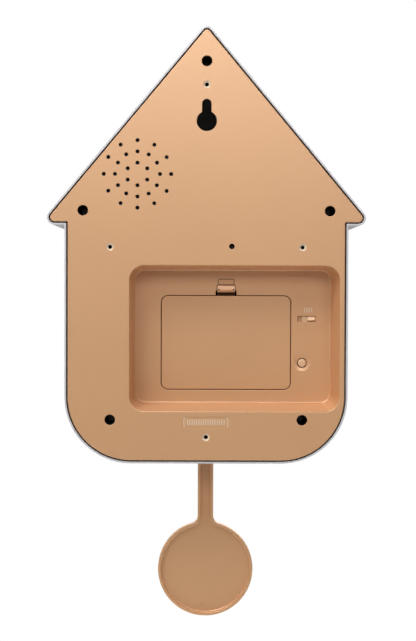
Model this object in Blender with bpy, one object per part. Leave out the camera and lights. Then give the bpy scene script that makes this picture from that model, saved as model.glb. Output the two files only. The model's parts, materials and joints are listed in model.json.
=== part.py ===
"""Battery cuckoo clock in a house-shaped case, taken apart into its separate pieces.

Lengths are in millimetres; they become metres when a mesh is made.  X runs across the clock, Y from
its front (-Y) to its back (+Y), and Z up.  The origin is on the rear face, on the centre line, just
above the keyhole that the clock hangs by.
"""
import math

import bmesh
import bpy
from mathutils import Vector

MM = 0.001
GAP = 0.3                       # clearance between pieces that touch

# Case outline in the XZ plane: sharp corners of the house shape, and the radius of each
ROOF_APEX_Z = 44.3
EAVE_TIP_X = 105.3
EAVE_Z = -82.1
BODY_X = 89.0
BASE_Z = -232.0
FOOT_R, NOOK_R, EAVE_R, APEX_R = 42.0, 0.5, 4.7, 4.1

# Depths of the case, front to back
CASE_DEPTH = 82.0
FRONT_EDGE = 1.5                # chamfer round the front
FRONT_RIM = 5.0                 # width of the rim that frames the front panel
PANEL_FRONT_Y = -79.0
PANEL_BACK_Y = -76.8
WALL = 2.2
REAR_LIP = 1.1                  # the wall thins to this round the rear cover
LIP_DEPTH = 12.0
COVER_INSET = 1.95              # rear cover's edge, inside the case outline
COVER_THICK = 2.2
COVER_BEVEL = 0.4

# Rear cover features, as (x, z)
CASE_SCREWS = [(0.0, 20.4), (77.5, -73.1), (-77.5, -73.1), (60.4, -204.5), (-60.4, -204.5)]
SMALL_HOLES = [(0.0, 5.8), (60.4, -95.9), (-60.4, -95.9), (0.0, -215.4)]
FRAME_SCREW = (-16.0, -95.4)
SCREW_HOLE_R = 3.3
SLEEVE_R = 4.6
SLEEVE_END_Y = -22.0
SCREW_SEAT_Y = -20.0
SCREW_BOSS_R = 3.9
SCREW_BORE_R = 1.9
KEYHOLE_Z = -17.0
KEYHOLE_R = 6.3
KEYHOLE_SLOT_R = 2.9
KEYHOLE_TOP_Z = -3.3
SPEAKER = (43.3, -50.3)
SPEAKER_R = 23.5
GRILLE_RINGS = [(7.05, 6), (14.1, 12), (21.1, 12)]     # ring radius, number of holes
GRILLE_HOLE_R = 1.25

# Tray: mouth and floor as (x_low, x_high, z_low, z_high, corner radius)
TRAY_MOUTH = (-84.0, 48.2, -199.0, -107.3, 9.3)
TRAY_FLOOR = (-80.6, 46.4, -195.9, -109.5, 6.7)
TRAY_FLOOR_Y = -25.0
TRAY_BACK_Y = -28.2
TRAY_WALL = 2.0
MARK_PANEL = (-14.7, 14.7, -209.5, -202.5, 1.0)

# Battery door, cells and their box
DOOR = (-54.45, 28.65, -186.8, -126.6, 4.2)
DOOR_SEAM = 0.5
DOOR_THICK = 1.7
DOOR_ROOM = 0.6                 # clearance behind the door, for its lower edge to turn in
DOOR_HINGE = (-12.9, -26.0, -185.9)
CELL_R = 13.1
CELL_LENGTH = 50.0
CELL_PITCH = 26.9
CELL_Y = -42.0
BOX_INSIDE = (-53.4, 27.6, -185.8, -128.3, 2.0)
BOX_WALL = 1.5
BOX_FRONT_Y = -28.5
BOX_BACK_Y = -55.4
SPRING_STEPS = 25               # two and a half turns of ten points

# Latch at the middle of the door's top edge
LATCH_X = -12.9
LATCH_WIDTH = 11.3
LATCH_SLOT = (-19.65, -6.15, -128.6, -123.0, 0.6)
LATCH_BEND = (-12.9, -31.0, -125.4)
LATCH_LEGS_Z = (-127.4, -123.4)    # inner and outer face of the U
LATCH_THICK = 0.9

# Controls
SWITCH_SLOT = (-70.5, -59.0, -143.1, -139.4, 0.5)
SWITCH_KNOB = (-70.1, -65.5, -142.6, -139.9, 0.4)
BUTTON = (-62.0, -169.7)
BOARD = (-78.5, -57.2, -190.0, -115.0, 1.0)
BOARD_Y = -35.0

# Dial, hands and movement
DIAL_Z = -150.0
DIAL_HOLE_R = 56.0
DIAL_R = 58.5
DIAL_BACK_Y = -75.2
DIAL_FRONT_Y = -76.6
MOVEMENT_HALF = 28.0
GEAR_MODULE = 0.4
CANNON_TEETH, MOTION_TEETH, MOTION_PINION_TEETH, HOUR_TEETH = 10, 30, 8, 32
MOTION_X = GEAR_MODULE * (CANNON_TEETH + MOTION_TEETH) / 2

# Bird, its door and its drive
DOORWAY = (-25.0, 25.0, -68.0, -16.0, 2.5)
DOOR_OPENING = (-21.0, 21.0, -64.0, -20.0, 1.0)
BIRD_DOOR = (-20.6, 19.4, -63.6, -20.4)
BIRD_HINGE = (19.4, -80.0)
RACK_MODULE = 0.6
BIRD_GEAR_TEETH, MOTOR_PINION_TEETH = 24, 10
RACK_X = -7.0
BIRD_GEAR_Y = -58.0
CARRIAGE_Z = (-63.7, -59.7)
RACK_TEETH = 21

# Pendulum
PIVOT = (0.0, -42.0, -200.0)
ROD_TOP_Z = -215.0
ROD_HALF = 5.1
BOB_Z = -306.5
BOB_R = 31.15
BOB_FILLET = 5.0
PENDULUM_FRONT_Y, PENDULUM_BACK_Y = -45.0, -39.4
PENDULUM_RIM = 2.2
PENDULUM_HOLLOW = 3.2
PENDULUM_SLOT = (-11.5, 11.5, -47.5, -36.8)    # x and y of the opening in the case


# ---------------------------------------------------------------- outlines

def offset_corners(corners, inset):
    """Corners of a counter-clockwise polygon with each side moved inwards."""
    moved = []
    for before, here, after in zip(corners[-1:] + corners[:-1], corners, corners[1:] + corners[:1]):
        side_in = (here - before).normalized()
        side_out = (after - here).normalized()
        normal_in = Vector((-side_in.y, side_in.x))
        normal_out = Vector((-side_out.y, side_out.x))
        moved.append(here + (normal_in + normal_out) * (inset / (1 + normal_in.dot(normal_out))))
    return moved


def round_corners(corners, radii, steps):
    """Polygon with an arc at each corner, with its own number of steps."""
    points = []
    neighbours = zip(corners[-1:] + corners[:-1], corners, corners[1:] + corners[:1])
    for (before, here, after), radius, count in zip(neighbours, radii, steps):
        to_before = (before - here).normalized()
        to_after = (after - here).normalized()
        half = to_before.angle(to_after) / 2
        centre = here + (to_before + to_after).normalized() * (radius / math.sin(half))
        reach = radius / math.tan(half)
        first = here + to_before * reach - centre
        last = here + to_after * reach - centre
        start = math.atan2(first.y, first.x)
        sweep = (math.atan2(last.y, last.x) - start + math.pi) % (2 * math.pi) - math.pi
        for step in range(count + 1):
            angle = start + sweep * step / count
            points.append((centre.x + radius * math.cos(angle), centre.y + radius * math.sin(angle)))
    return points


def house_outline(inset):
    """The case's outline, moved inwards by inset; every inset gives the same number of points."""
    right = [(BODY_X, BASE_Z), (BODY_X, EAVE_Z), (EAVE_TIP_X, EAVE_Z), (0.0, ROOF_APEX_Z)]
    left = [(-x, z) for x, z in reversed(right[:-1])]
    corners = offset_corners([Vector(point) for point in right + left], inset)
    radii = [FOOT_R - inset, NOOK_R, max(EAVE_R - inset, 0.5), max(APEX_R - inset, 0.5)]
    steps = [10, 2, 5, 6]
    return round_corners(corners, radii + radii[2::-1], steps + steps[2::-1])


def rounded_box(box, grow=0.0, steps=5):
    """Rounded rectangle from (x_low, x_high, z_low, z_high, corner radius), optionally grown."""
    x_low, x_high, z_low, z_high, radius = box
    corners = [Vector((x_low - grow, z_low - grow)), Vector((x_high + grow, z_low - grow)),
               Vector((x_high + grow, z_high + grow)), Vector((x_low - grow, z_high + grow))]
    return round_corners(corners, [radius + grow] * 4, [steps] * 4)


def circle(centre, radius, steps=16, phase=0.0):
    return [(centre[0] + radius * math.cos(phase + 2 * math.pi * step / steps),
             centre[1] + radius * math.sin(phase + 2 * math.pi * step / steps)) for step in range(steps)]


def rectangle(u_low, u_high, v_low, v_high):
    return [(u_low, v_low), (u_high, v_low), (u_high, v_high), (u_low, v_high)]


def gear_outline(centre, teeth, module, phase=0.0):
    """Straight-sided teeth with backlash; at phase 0 a tooth points along the first axis."""
    pitch_r = module * teeth / 2
    pitch_angle = 2 * math.pi / teeth
    root, tip = pitch_r - 1.15 * module, pitch_r + 0.75 * module
    points = []
    for tooth in range(teeth):
        middle = phase + tooth * pitch_angle
        for radius, share in ((root, -0.30), (tip, -0.11), (tip, 0.11), (root, 0.30)):
            angle = middle + share * pitch_angle
            points.append((centre[0] + radius * math.cos(angle), centre[1] + radius * math.sin(angle)))
    return points


def keyhole_outline():
    """Round hole with a round-topped slot rising from it."""
    join = math.asin(KEYHOLE_SLOT_R / KEYHOLE_R)
    points = []
    for step in range(21):
        angle = math.pi / 2 + join + (2 * math.pi - 2 * join) * step / 20
        points.append((KEYHOLE_R * math.cos(angle), KEYHOLE_Z + KEYHOLE_R * math.sin(angle)))
    top = KEYHOLE_TOP_Z - KEYHOLE_SLOT_R
    for step in range(9):
        angle = math.pi * step / 8
        points.append((KEYHOLE_SLOT_R * math.cos(angle), top + KEYHOLE_SLOT_R * math.sin(angle)))
    return points


def pendulum_outline(inset):
    """Rod, fillets and round bob in one closed line, moved inwards by inset."""
    bob_r, rod, fillet = BOB_R - inset, ROD_HALF - inset, BOB_FILLET + inset
    fillet_x = rod + fillet
    fillet_z = BOB_Z + math.sqrt((bob_r + fillet) ** 2 - fillet_x ** 2)
    meet = math.atan2(fillet_z - BOB_Z, fillet_x)
    top = ROD_TOP_Z - inset
    right = [(rod, top)]
    for step in range(6):
        angle = math.pi + meet * step / 5
        right.append((fillet_x + fillet * math.cos(angle), fillet_z + fillet * math.sin(angle)))
    for step in range(1, 21):
        angle = meet - (meet + math.pi / 2) * step / 20
        right.append((bob_r * math.cos(angle), BOB_Z + bob_r * math.sin(angle)))
    left = [(-x, z) for x, z in right[-2::-1]]
    return right + left


# ---------------------------------------------------------------- solids

def placed(u, v, w, axis):
    """World position of a point (u, v) in the plane square to an axis, at w along it."""
    if axis == "X":
        return (w, u, v)
    if axis == "Z":
        return (u, v, w)
    return (u, w, v)


def prism(outlines, start, end, axis="Y"):
    """Extrude a flat outline, with any holes listed after it, along an axis."""
    mesh = bmesh.new()
    for outline in outlines:
        verts = [mesh.verts.new(placed(u, v, start, axis)) for u, v in outline]
        for first, second in zip(verts, verts[1:] + verts[:1]):
            mesh.edges.new((first, second))
    normal = placed(0, 0, 1, axis)
    bmesh.ops.triangle_fill(mesh, use_beauty=True, edges=mesh.edges[:], normal=normal)
    swept = bmesh.ops.extrude_face_region(mesh, geom=mesh.faces[:], use_keep_orig=True)
    moved = [item for item in swept["geom"] if isinstance(item, bmesh.types.BMVert)]
    bmesh.ops.translate(mesh, verts=moved, vec=placed(0, 0, end - start, axis))
    bmesh.ops.recalc_face_normals(mesh, faces=mesh.faces[:])
    return mesh


def box(x_low, x_high, y_low, y_high, z_low, z_high):
    return prism([rectangle(x_low, x_high, z_low, z_high)], y_low, y_high)


def loft(rings, closed=False):
    """Join rings of 3D points that have the same count; the ends are capped unless closed."""
    mesh = bmesh.new()
    loops = [[mesh.verts.new(point) for point in ring] for ring in rings]
    pairs = list(zip(loops, loops[1:] + loops[:1])) if closed else list(zip(loops, loops[1:]))
    for low, high in pairs:
        for index, vert in enumerate(low):
            following = (index + 1) % len(low)
            mesh.faces.new((vert, low[following], high[following], high[index]))
    if not closed:
        mesh.faces.new(loops[0])
        mesh.faces.new(loops[-1])
    bmesh.ops.recalc_face_normals(mesh, faces=mesh.faces[:])
    return mesh


def flat_ring(outline, y):
    return [(x, y, z) for x, z in outline]


def turned(profile, centre, axis="Y", steps=32):
    """Solid of revolution from (radius, distance along the axis) points.

    A profile that starts and ends on the axis is a solid; any other is closed into a ring.
    """
    mesh = bmesh.new()
    rings = []
    for radius, along in profile:
        if radius == 0:
            rings.append([mesh.verts.new(placed(centre[0], centre[1], along, axis))])
        else:
            outline = circle(centre, radius, steps)
            rings.append([mesh.verts.new(placed(u, v, along, axis)) for u, v in outline])
    if profile[0][0] > 0:
        rings.append(rings[0])
    for low, high in zip(rings, rings[1:]):
        for index in range(steps):
            following = (index + 1) % steps
            corners = [low[index % len(low)], low[following % len(low)],
                       high[following % len(high)], high[index % len(high)]]
            mesh.faces.new(list(dict.fromkeys(corners)))
    bmesh.ops.recalc_face_normals(mesh, faces=mesh.faces[:])
    return mesh


def cylinder(centre, radius, start, end, axis="Y", steps=16):
    return prism([circle(centre, radius, steps)], start, end, axis)


def ball(centre, radii, steps=16):
    mesh = bmesh.new()
    bmesh.ops.create_uvsphere(mesh, u_segments=steps, v_segments=steps // 2, radius=1.0)
    for vert in mesh.verts:
        vert.co = Vector(centre) + Vector([length * part for length, part in zip(radii, vert.co)])
    return mesh


# ---------------------------------------------------------------- objects

def clear_scene():
    for item in list(bpy.data.objects):
        bpy.data.objects.remove(item)


def material(name, colour, roughness, metallic=0.0):
    finish = bpy.data.materials.new(name)
    finish.use_nodes = True
    shader = finish.node_tree.nodes["Principled BSDF"]
    shader.inputs["Base Color"].default_value = (*colour, 1.0)
    shader.inputs["Roughness"].default_value = roughness
    shader.inputs["Metallic"].default_value = metallic
    finish.diffuse_color = (*colour, 1.0)
    return finish


def mesh_object(name, solid, pivot=(0.0, 0.0, 0.0)):
    """Object from a bmesh in millimetres, with its own origin at pivot."""
    bmesh.ops.translate(solid, verts=solid.verts[:], vec=-Vector(pivot))
    bmesh.ops.scale(solid, verts=solid.verts[:], vec=(MM, MM, MM))
    mesh = bpy.data.meshes.new(name)
    solid.to_mesh(mesh)
    solid.free()
    item = bpy.data.objects.new(name, mesh)
    item.location = Vector(pivot) * MM
    return item


def combine(item, solids, operation, pivot):
    """Add or cut a group of hidden helper solids with one Boolean modifier."""
    group = bpy.data.collections.new(f"{item.name}_{operation.lower()}")
    bpy.context.scene.collection.children.link(group)
    for number, solid in enumerate(solids):
        helper = mesh_object(f"{item.name}_{operation.lower()}_{number}", solid, pivot)
        helper.hide_render = True
        helper.display_type = "WIRE"
        group.objects.link(helper)
    modifier = item.modifiers.new(operation.title(), "BOOLEAN")
    modifier.operation = operation
    modifier.operand_type = "COLLECTION"
    modifier.collection = group
    modifier.solver = "EXACT"


def piece(name, solid, finish, adds=(), cuts=(), pivot=(0.0, 0.0, 0.0)):
    """One sub-part: a solid, with other solids joined to it and cut from it."""
    item = mesh_object(name, solid, pivot)
    bpy.context.scene.collection.objects.link(item)
    item.data.materials.append(finish)
    item.data.shade_smooth()
    item.data.set_sharp_from_angle(angle=math.radians(35))
    if adds:
        combine(item, adds, "UNION", pivot)
    if cuts:
        combine(item, cuts, "DIFFERENCE", pivot)
    return item


def wire_piece(name, points, radius, finish, resolution=1):
    """Round wire or lead along a smooth list of points."""
    curve = bpy.data.curves.new(name, "CURVE")
    curve.dimensions = "3D"
    curve.bevel_depth = radius * MM
    curve.bevel_resolution = resolution
    curve.use_fill_caps = True
    spline = curve.splines.new("POLY")
    spline.points.add(len(points) - 1)
    for target, point in zip(spline.points, points):
        target.co = (*[value * MM for value in point], 1.0)
    curve.materials.append(finish)
    item = bpy.data.objects.new(name, curve)
    bpy.context.scene.collection.objects.link(item)
    return item


# ---------------------------------------------------------------- case

def make_front_shell(finish):
    """Walls lofted through rings from the rear lip round the front rim and back inside."""
    ring_plan = [(0.0, 0.0), (0.0, FRONT_EDGE - CASE_DEPTH), (FRONT_EDGE, -CASE_DEPTH),
                 (FRONT_RIM, -CASE_DEPTH), (FRONT_RIM, PANEL_FRONT_Y - GAP), (WALL, PANEL_FRONT_Y - GAP),
                 (WALL, -LIP_DEPTH), (REAR_LIP, -LIP_DEPTH), (REAR_LIP, 0.0)]
    walls = loft([flat_ring(house_outline(inset), y) for inset, y in ring_plan], closed=True)
    slot = box(*PENDULUM_SLOT, BASE_Z - 1.0, BASE_Z + WALL + 1.0)
    piece("front_shell", walls, finish, cuts=[slot])


def make_front_panel(finish):
    """Plate behind the shell's rim, with the screw bosses that reach back to the cover's sleeves."""
    holes = [circle((0.0, DIAL_Z), DIAL_HOLE_R, 48), rounded_box(DOORWAY, GAP)]
    plate = prism([house_outline(WALL + GAP)] + holes, PANEL_FRONT_Y, PANEL_BACK_Y)
    bosses = [cylinder(spot, SCREW_BOSS_R, PANEL_BACK_Y - 1.0, SLEEVE_END_Y - GAP) for spot in CASE_SCREWS]
    bores = [cylinder(spot, SCREW_BORE_R, -40.0, SLEEVE_END_Y + 1.0, steps=12) for spot in CASE_SCREWS]
    piece("front_panel", plate, finish, adds=bosses, cuts=bores)


def make_rear_cover(finish):
    """Flush plate with the tray sunk into it, screw sleeves, grille and keyhole."""
    plate = loft([flat_ring(house_outline(COVER_INSET), -COVER_THICK),
                  flat_ring(house_outline(COVER_INSET), -COVER_BEVEL),
                  flat_ring(house_outline(COVER_INSET + COVER_BEVEL), 0.0)])
    tray_block = loft([flat_ring(rounded_box(TRAY_MOUTH, TRAY_WALL), -1.0),
                       flat_ring(rounded_box(TRAY_FLOOR, TRAY_WALL), TRAY_BACK_Y)])
    sleeves = [cylinder(spot, SLEEVE_R, SLEEVE_END_Y, -1.0) for spot in CASE_SCREWS]
    frame_sleeve = cylinder(FRAME_SCREW, 3.4, -12.0, -1.0)
    speaker_ring = turned([(SPEAKER_R + GAP, -6.0), (SPEAKER_R + GAP, -1.0), (SPEAKER_R + 1.1, -1.0),
                           (SPEAKER_R + 1.1, -6.0)], SPEAKER, steps=40)
    adds = [tray_block, frame_sleeve, speaker_ring] + sleeves

    draft = [(mouth - floor) / TRAY_FLOOR_Y for mouth, floor in zip(TRAY_MOUTH, TRAY_FLOOR)]
    above = tuple(mouth + slope * -1.0 for mouth, slope in zip(TRAY_MOUTH, draft))
    cuts = [loft([flat_ring(rounded_box(above), 1.0), flat_ring(rounded_box(TRAY_FLOOR), TRAY_FLOOR_Y)])]
    cuts.append(prism([keyhole_outline()], -3.0, 1.0))
    for spot in CASE_SCREWS:
        cuts.append(cylinder(spot, SCREW_HOLE_R, SCREW_SEAT_Y, 1.0, steps=20))
        cuts.append(cylinder(spot, SCREW_BORE_R, SLEEVE_END_Y - 1.0, SCREW_SEAT_Y + 0.5, steps=12))
    countersink = [(0.0, -3.0), (1.15, -3.0), (1.15, -1.3), (2.85, 0.4), (0.0, 0.4)]
    cuts += [turned(countersink, spot, steps=12) for spot in SMALL_HOLES]
    cuts.append(cylinder(FRAME_SCREW, 1.75, -10.5, 1.0, steps=12))
    for ring_r, count in GRILLE_RINGS:
        for x, z in circle(SPEAKER, ring_r, count, phase=math.pi / 2):
            cuts.append(cylinder((x, z), GRILLE_HOLE_R, -3.0, 1.0, steps=8))
    cuts.append(prism([rounded_box(MARK_PANEL, steps=2)], -0.4, 1.0))
    cuts += tray_floor_cuts()
    piece("rear_cover", plate, finish, adds=adds, cuts=cuts)


def tray_floor_cuts():
    """Pocket for the battery door, and the holes for cells, latch, switch and button."""
    return [prism([rounded_box(DOOR, DOOR_SEAM)], TRAY_FLOOR_Y - DOOR_THICK - DOOR_ROOM, TRAY_FLOOR_Y + 1.0),
            prism([rounded_box(BOX_INSIDE)], TRAY_BACK_Y - 1.0, TRAY_FLOOR_Y - 1.0),
            prism([rounded_box(LATCH_SLOT, steps=1)], TRAY_BACK_Y - 1.0, TRAY_FLOOR_Y + 1.0),
            prism([rounded_box(SWITCH_SLOT, steps=2)], TRAY_BACK_Y - 1.0, TRAY_FLOOR_Y + 1.0),
            turned([(0.0, -29.2), (3.0, -29.2), (3.0, -26.4), (3.4, -26.0), (5.9, -24.9), (0.0, -24.9)],
                   BUTTON, steps=24)]


def make_case_screws(finish):
    head = [(0.0, 2.0), (2.0, 2.0), (2.8, 1.0), (2.8, GAP), (1.4, GAP), (1.4, -14.0), (0.0, -15.5)]
    for number, spot in enumerate(CASE_SCREWS, start=1):
        profile = [(radius, SCREW_SEAT_Y + along) for radius, along in head]
        slot = box(spot[0] - 2.0, spot[0] + 2.0, SCREW_SEAT_Y + 1.2, SCREW_SEAT_Y + 3.0,
                   spot[1] - 0.4, spot[1] + 0.4)
        piece(f"case_screw_{number}", turned(profile, spot, steps=12), finish, cuts=[slot])
    profile = [(0.0, -6.0), (0.7, -6.0), (1.4, -7.2), (1.4, -10.2), (0.0, -10.2)]
    piece("bird_frame_screw", turned(profile, FRAME_SCREW, steps=12), finish)


# ---------------------------------------------------------------- batteries and controls

def make_battery_door(finish):
    back_y = TRAY_FLOOR_Y - DOOR_THICK
    ribs = [box(x - 0.6, x + 0.6, back_y - 0.9, back_y + 0.3, -180.0, -134.0) for x in (-40.0, -12.9, 14.0)]
    piece("battery_door", prism([rounded_box(DOOR)], back_y, TRAY_FLOOR_Y), finish, adds=ribs,
          pivot=DOOR_HINGE)


def make_battery_latch(finish):
    """U-shaped spring tongue rising from the door's top edge, with a lip for the finger."""
    low, high = LATCH_X - LATCH_WIDTH / 2, LATCH_X + LATCH_WIDTH / 2
    (inner, outer), thick, bend = LATCH_LEGS_Z, LATCH_THICK, LATCH_BEND[2]
    legs_outside = [(-27.0, inner), (-30.6, inner), (-31.7, inner + 0.5), (-32.0, bend), (-31.7, outer - 0.5),
                    (-30.6, outer), (-25.2, outer)]
    lip = [(-24.6, outer + 0.3), (-24.6, outer + 3.5), (-24.2, outer + 3.5), (-23.5, outer + 0.8),
           (-23.7, outer + 0.3), (-25.4, outer - thick)]
    legs_inside = [(-30.5, outer - thick), (-31.1, bend), (-30.5, inner + thick), (-27.0, inner + thick)]
    profile = legs_outside + lip + legs_inside
    piece("battery_latch", prism([profile], low, high, axis="X"), finish, pivot=LATCH_BEND)


def make_batteries(sleeve, spring_steel):
    left_x = (BOX_INSIDE[0] + BOX_INSIDE[1]) / 2 - CELL_PITCH
    cell_low = BOX_INSIDE[2] + 5.2
    for number in range(3):
        up = 1 if number % 2 == 0 else -1
        centre = (left_x + number * CELL_PITCH, CELL_Y)
        middle = cell_low + CELL_LENGTH / 2 if up > 0 else BOX_INSIDE[3] - 5.2 - CELL_LENGTH / 2
        half = CELL_LENGTH / 2
        profile = [(0.0, -half), (CELL_R - 1.6, -half), (CELL_R, -half + 1.2), (CELL_R, half - 2.6),
                   (CELL_R - 1.6, half - 1.4), (3.3, half - 1.4), (3.3, half), (0.0, half)]
        cell = turned([(radius, middle + up * along) for radius, along in profile], centre, "Z", 20)
        piece(f"battery_{number + 1}", cell, sleeve)
        spring_wall = BOX_INSIDE[2] if up > 0 else BOX_INSIDE[3]
        contact_wall = BOX_INSIDE[3] if up > 0 else BOX_INSIDE[2]
        spring_points = []
        for step in range(SPRING_STEPS + 1):
            angle = 2 * math.pi * step / 10
            radius = 6.0 - 2.6 * step / SPRING_STEPS
            spring_points.append((centre[0] + radius * math.cos(angle), centre[1] + radius * math.sin(angle),
                                  spring_wall + up * (0.7 + 3.6 * step / SPRING_STEPS)))
        wire_piece(f"battery_spring_{number + 1}", spring_points, 0.35, spring_steel)
        plate_z = sorted((contact_wall - up * 0.3, contact_wall - up * 0.7))
        piece(f"battery_contact_{number + 1}",
              box(centre[0] - 6.0, centre[0] + 6.0, CELL_Y - 6.0, CELL_Y + 6.0, *plate_z), spring_steel)


def make_battery_box(finish):
    outer = prism([rounded_box(BOX_INSIDE, BOX_WALL)], BOX_BACK_Y - BOX_WALL, BOX_FRONT_Y)
    inner = prism([rounded_box(BOX_INSIDE)], BOX_BACK_Y, BOX_FRONT_Y + 1.0)
    latch_room = box(LATCH_SLOT[0] - 1.0, LATCH_SLOT[1] + 1.0, -36.5, BOX_FRONT_Y + 1.0,
                     LATCH_SLOT[2] - 0.4, LATCH_SLOT[3] + 3.0)
    middle_x = (BOX_INSIDE[0] + BOX_INSIDE[1]) / 2
    cradles = []
    for x in (middle_x - CELL_PITCH / 2, middle_x + CELL_PITCH / 2):
        wedge = [(x - 3.0, BOX_BACK_Y - 0.5), (x + 3.0, BOX_BACK_Y - 0.5), (x, BOX_BACK_Y + 4.6)]
        cradles.append(prism([wedge], BOX_INSIDE[2] + 12.0, BOX_INSIDE[3] - 12.0, axis="Z"))
    battery_box = piece("battery_box", outer, finish, cuts=[inner, latch_room])
    combine(battery_box, cradles, "UNION", (0.0, 0.0, 0.0))


def make_controls(gold, board_green, black, metal):
    x_low, x_high, z_low, z_high, _ = SWITCH_KNOB
    knob = prism([rounded_box(SWITCH_KNOB, steps=2)], -29.0, -23.7)
    foot = box(x_low - 0.4, x_high + 0.4, -29.8, TRAY_BACK_Y - GAP, z_low - 1.4, z_high + 1.4)
    middle = ((x_low + x_high) / 2, TRAY_BACK_Y, (z_low + z_high) / 2)
    piece("switch_knob", knob, gold, adds=[foot], pivot=middle)
    piece("switch_body", box(-74.0, -57.6, BOARD_Y + GAP, -30.1, -145.0, -137.5), metal)
    button_profile = [(0.0, -24.0), (2.2, -24.0), (2.6, -24.4), (2.6, -28.5), (4.2, -28.5), (4.2, -29.5),
                      (1.2, -29.5), (1.2, -31.0), (0.0, -31.0)]
    piece("set_button", turned(button_profile, BUTTON, steps=16), gold, pivot=(BUTTON[0], -28.5, BUTTON[1]))
    piece("button_switch", box(BUTTON[0] - 3.0, BUTTON[0] + 3.0, BOARD_Y + GAP, -32.3,
                               BUTTON[1] - 3.0, BUTTON[1] + 3.0), black)
    piece("control_board", prism([rounded_box(BOARD, steps=2)], BOARD_Y - 1.6, BOARD_Y), board_green)
    piece("sound_chip", box(-73.0, -62.0, BOARD_Y - 4.0, BOARD_Y - 1.6 - GAP, -165.0, -150.0), black)
    piece("board_capacitor", cylinder((-67.0, -130.0), 4.0, BOARD_Y - 12.0, BOARD_Y - 1.6 - GAP), black)


def make_speaker(steel, paper, magnet):
    frame = [(SPEAKER_R - 2.5, -3.0), (SPEAKER_R, -3.0), (SPEAKER_R, -4.4), (SPEAKER_R - 2.2, -5.0),
             (13.0, -13.0), (12.0, -14.0), (5.0, -14.0), (5.0, -12.8), (12.0, -12.6), (SPEAKER_R - 2.5, -4.6)]
    cone = [(0.0, -8.2), (3.0, -8.6), (5.5, -9.8), (SPEAKER_R - 4.4, -4.3), (SPEAKER_R - 3.0, -3.4),
            (SPEAKER_R - 3.0, -4.0), (SPEAKER_R - 4.6, -5.0), (5.5, -10.6), (2.8, -9.4), (0.0, -9.0)]
    magnet_profile = [(0.0, -14.3), (10.6, -14.3), (10.6, -20.6), (9.8, -21.4), (0.0, -21.4)]
    piece("speaker_frame", turned(frame, SPEAKER, steps=24), steel)
    piece("speaker_cone", turned(cone, SPEAKER, steps=24), paper)
    piece("speaker_magnet", turned(magnet_profile, SPEAKER, steps=24), magnet)


# ---------------------------------------------------------------- dial and movement

def make_dial(white, gold):
    marks = []
    for hour in range(12):
        angle = math.pi / 2 - hour * math.pi / 6
        across = 1.1 if hour % 3 == 0 else 0.6
        inner = 43.0 if hour % 3 == 0 else 46.0
        along = Vector((math.cos(angle), math.sin(angle)))
        side = Vector((-along.y, along.x)) * across
        middle = Vector((0.0, DIAL_Z))
        corners = [middle + along * inner - side, middle + along * 51.0 - side,
                   middle + along * 51.0 + side, middle + along * inner + side]
        marks.append(prism([[tuple(corner) for corner in corners]], DIAL_FRONT_Y - 0.5, DIAL_FRONT_Y + 0.6))
    disc = prism([circle((0.0, DIAL_Z), DIAL_HOLE_R - GAP, 48), circle((0.0, DIAL_Z), 4.4, 16)],
                 DIAL_FRONT_Y, DIAL_BACK_Y)
    flange = prism([circle((0.0, DIAL_Z), DIAL_R, 48), circle((0.0, DIAL_Z), 50.0, 48)],
                   PANEL_BACK_Y + GAP, DIAL_BACK_Y)
    piece("dial", disc, white, adds=[flange] + marks)
    ring = [(54.6, -77.2), (55.7, -77.2), (55.7, -79.3), (58.0, -79.3), (57.4, -81.2), (54.6, -81.2)]
    piece("dial_ring", turned(ring, (0.0, DIAL_Z), steps=48), gold)


def make_movement(black, copper, brass):
    """Case in two halves; the front half carries the threaded bush that the dial nut holds."""
    half = MOVEMENT_HALF
    around = (-half, half, DIAL_Z - half, DIAL_Z + half, 3.0)
    inside = (-half + 1.4, half - 1.4, DIAL_Z - half + 1.4, DIAL_Z + half - 1.4, 1.8)
    centre = (0.0, DIAL_Z)
    front = prism([rounded_box(around, steps=3)], -74.8, -66.5)
    bush = cylinder(centre, 4.0, -78.9, -74.0)
    post = cylinder((MOTION_X, DIAL_Z), 0.8, -74.0, -69.0, steps=12)
    front_piece = piece("movement_front", front, black, adds=[bush],
                        cuts=[prism([rounded_box(inside, steps=3)], -73.4, -66.0),
                              cylinder(centre, 3.1, -79.5, -73.0)])
    combine(front_piece, [post], "UNION", (0.0, 0.0, 0.0))
    rear = prism([rounded_box(around, steps=3)], -66.2, -58.4)
    piece("movement_rear", rear, black, cuts=[prism([rounded_box(inside, steps=3)], -66.8, -59.8)])
    coil = turned([(2.0, -20.0), (4.6, -20.0), (4.6, 4.0), (2.0, 4.0)], (-65.0, DIAL_Z - 18.0), "X", 16)
    piece("movement_coil", coil, copper)
    nut = prism([circle(centre, 5.4, 6), circle(centre, 4.2, 20)], -78.6, DIAL_FRONT_Y - GAP)
    piece("dial_nut", nut, brass)


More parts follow.
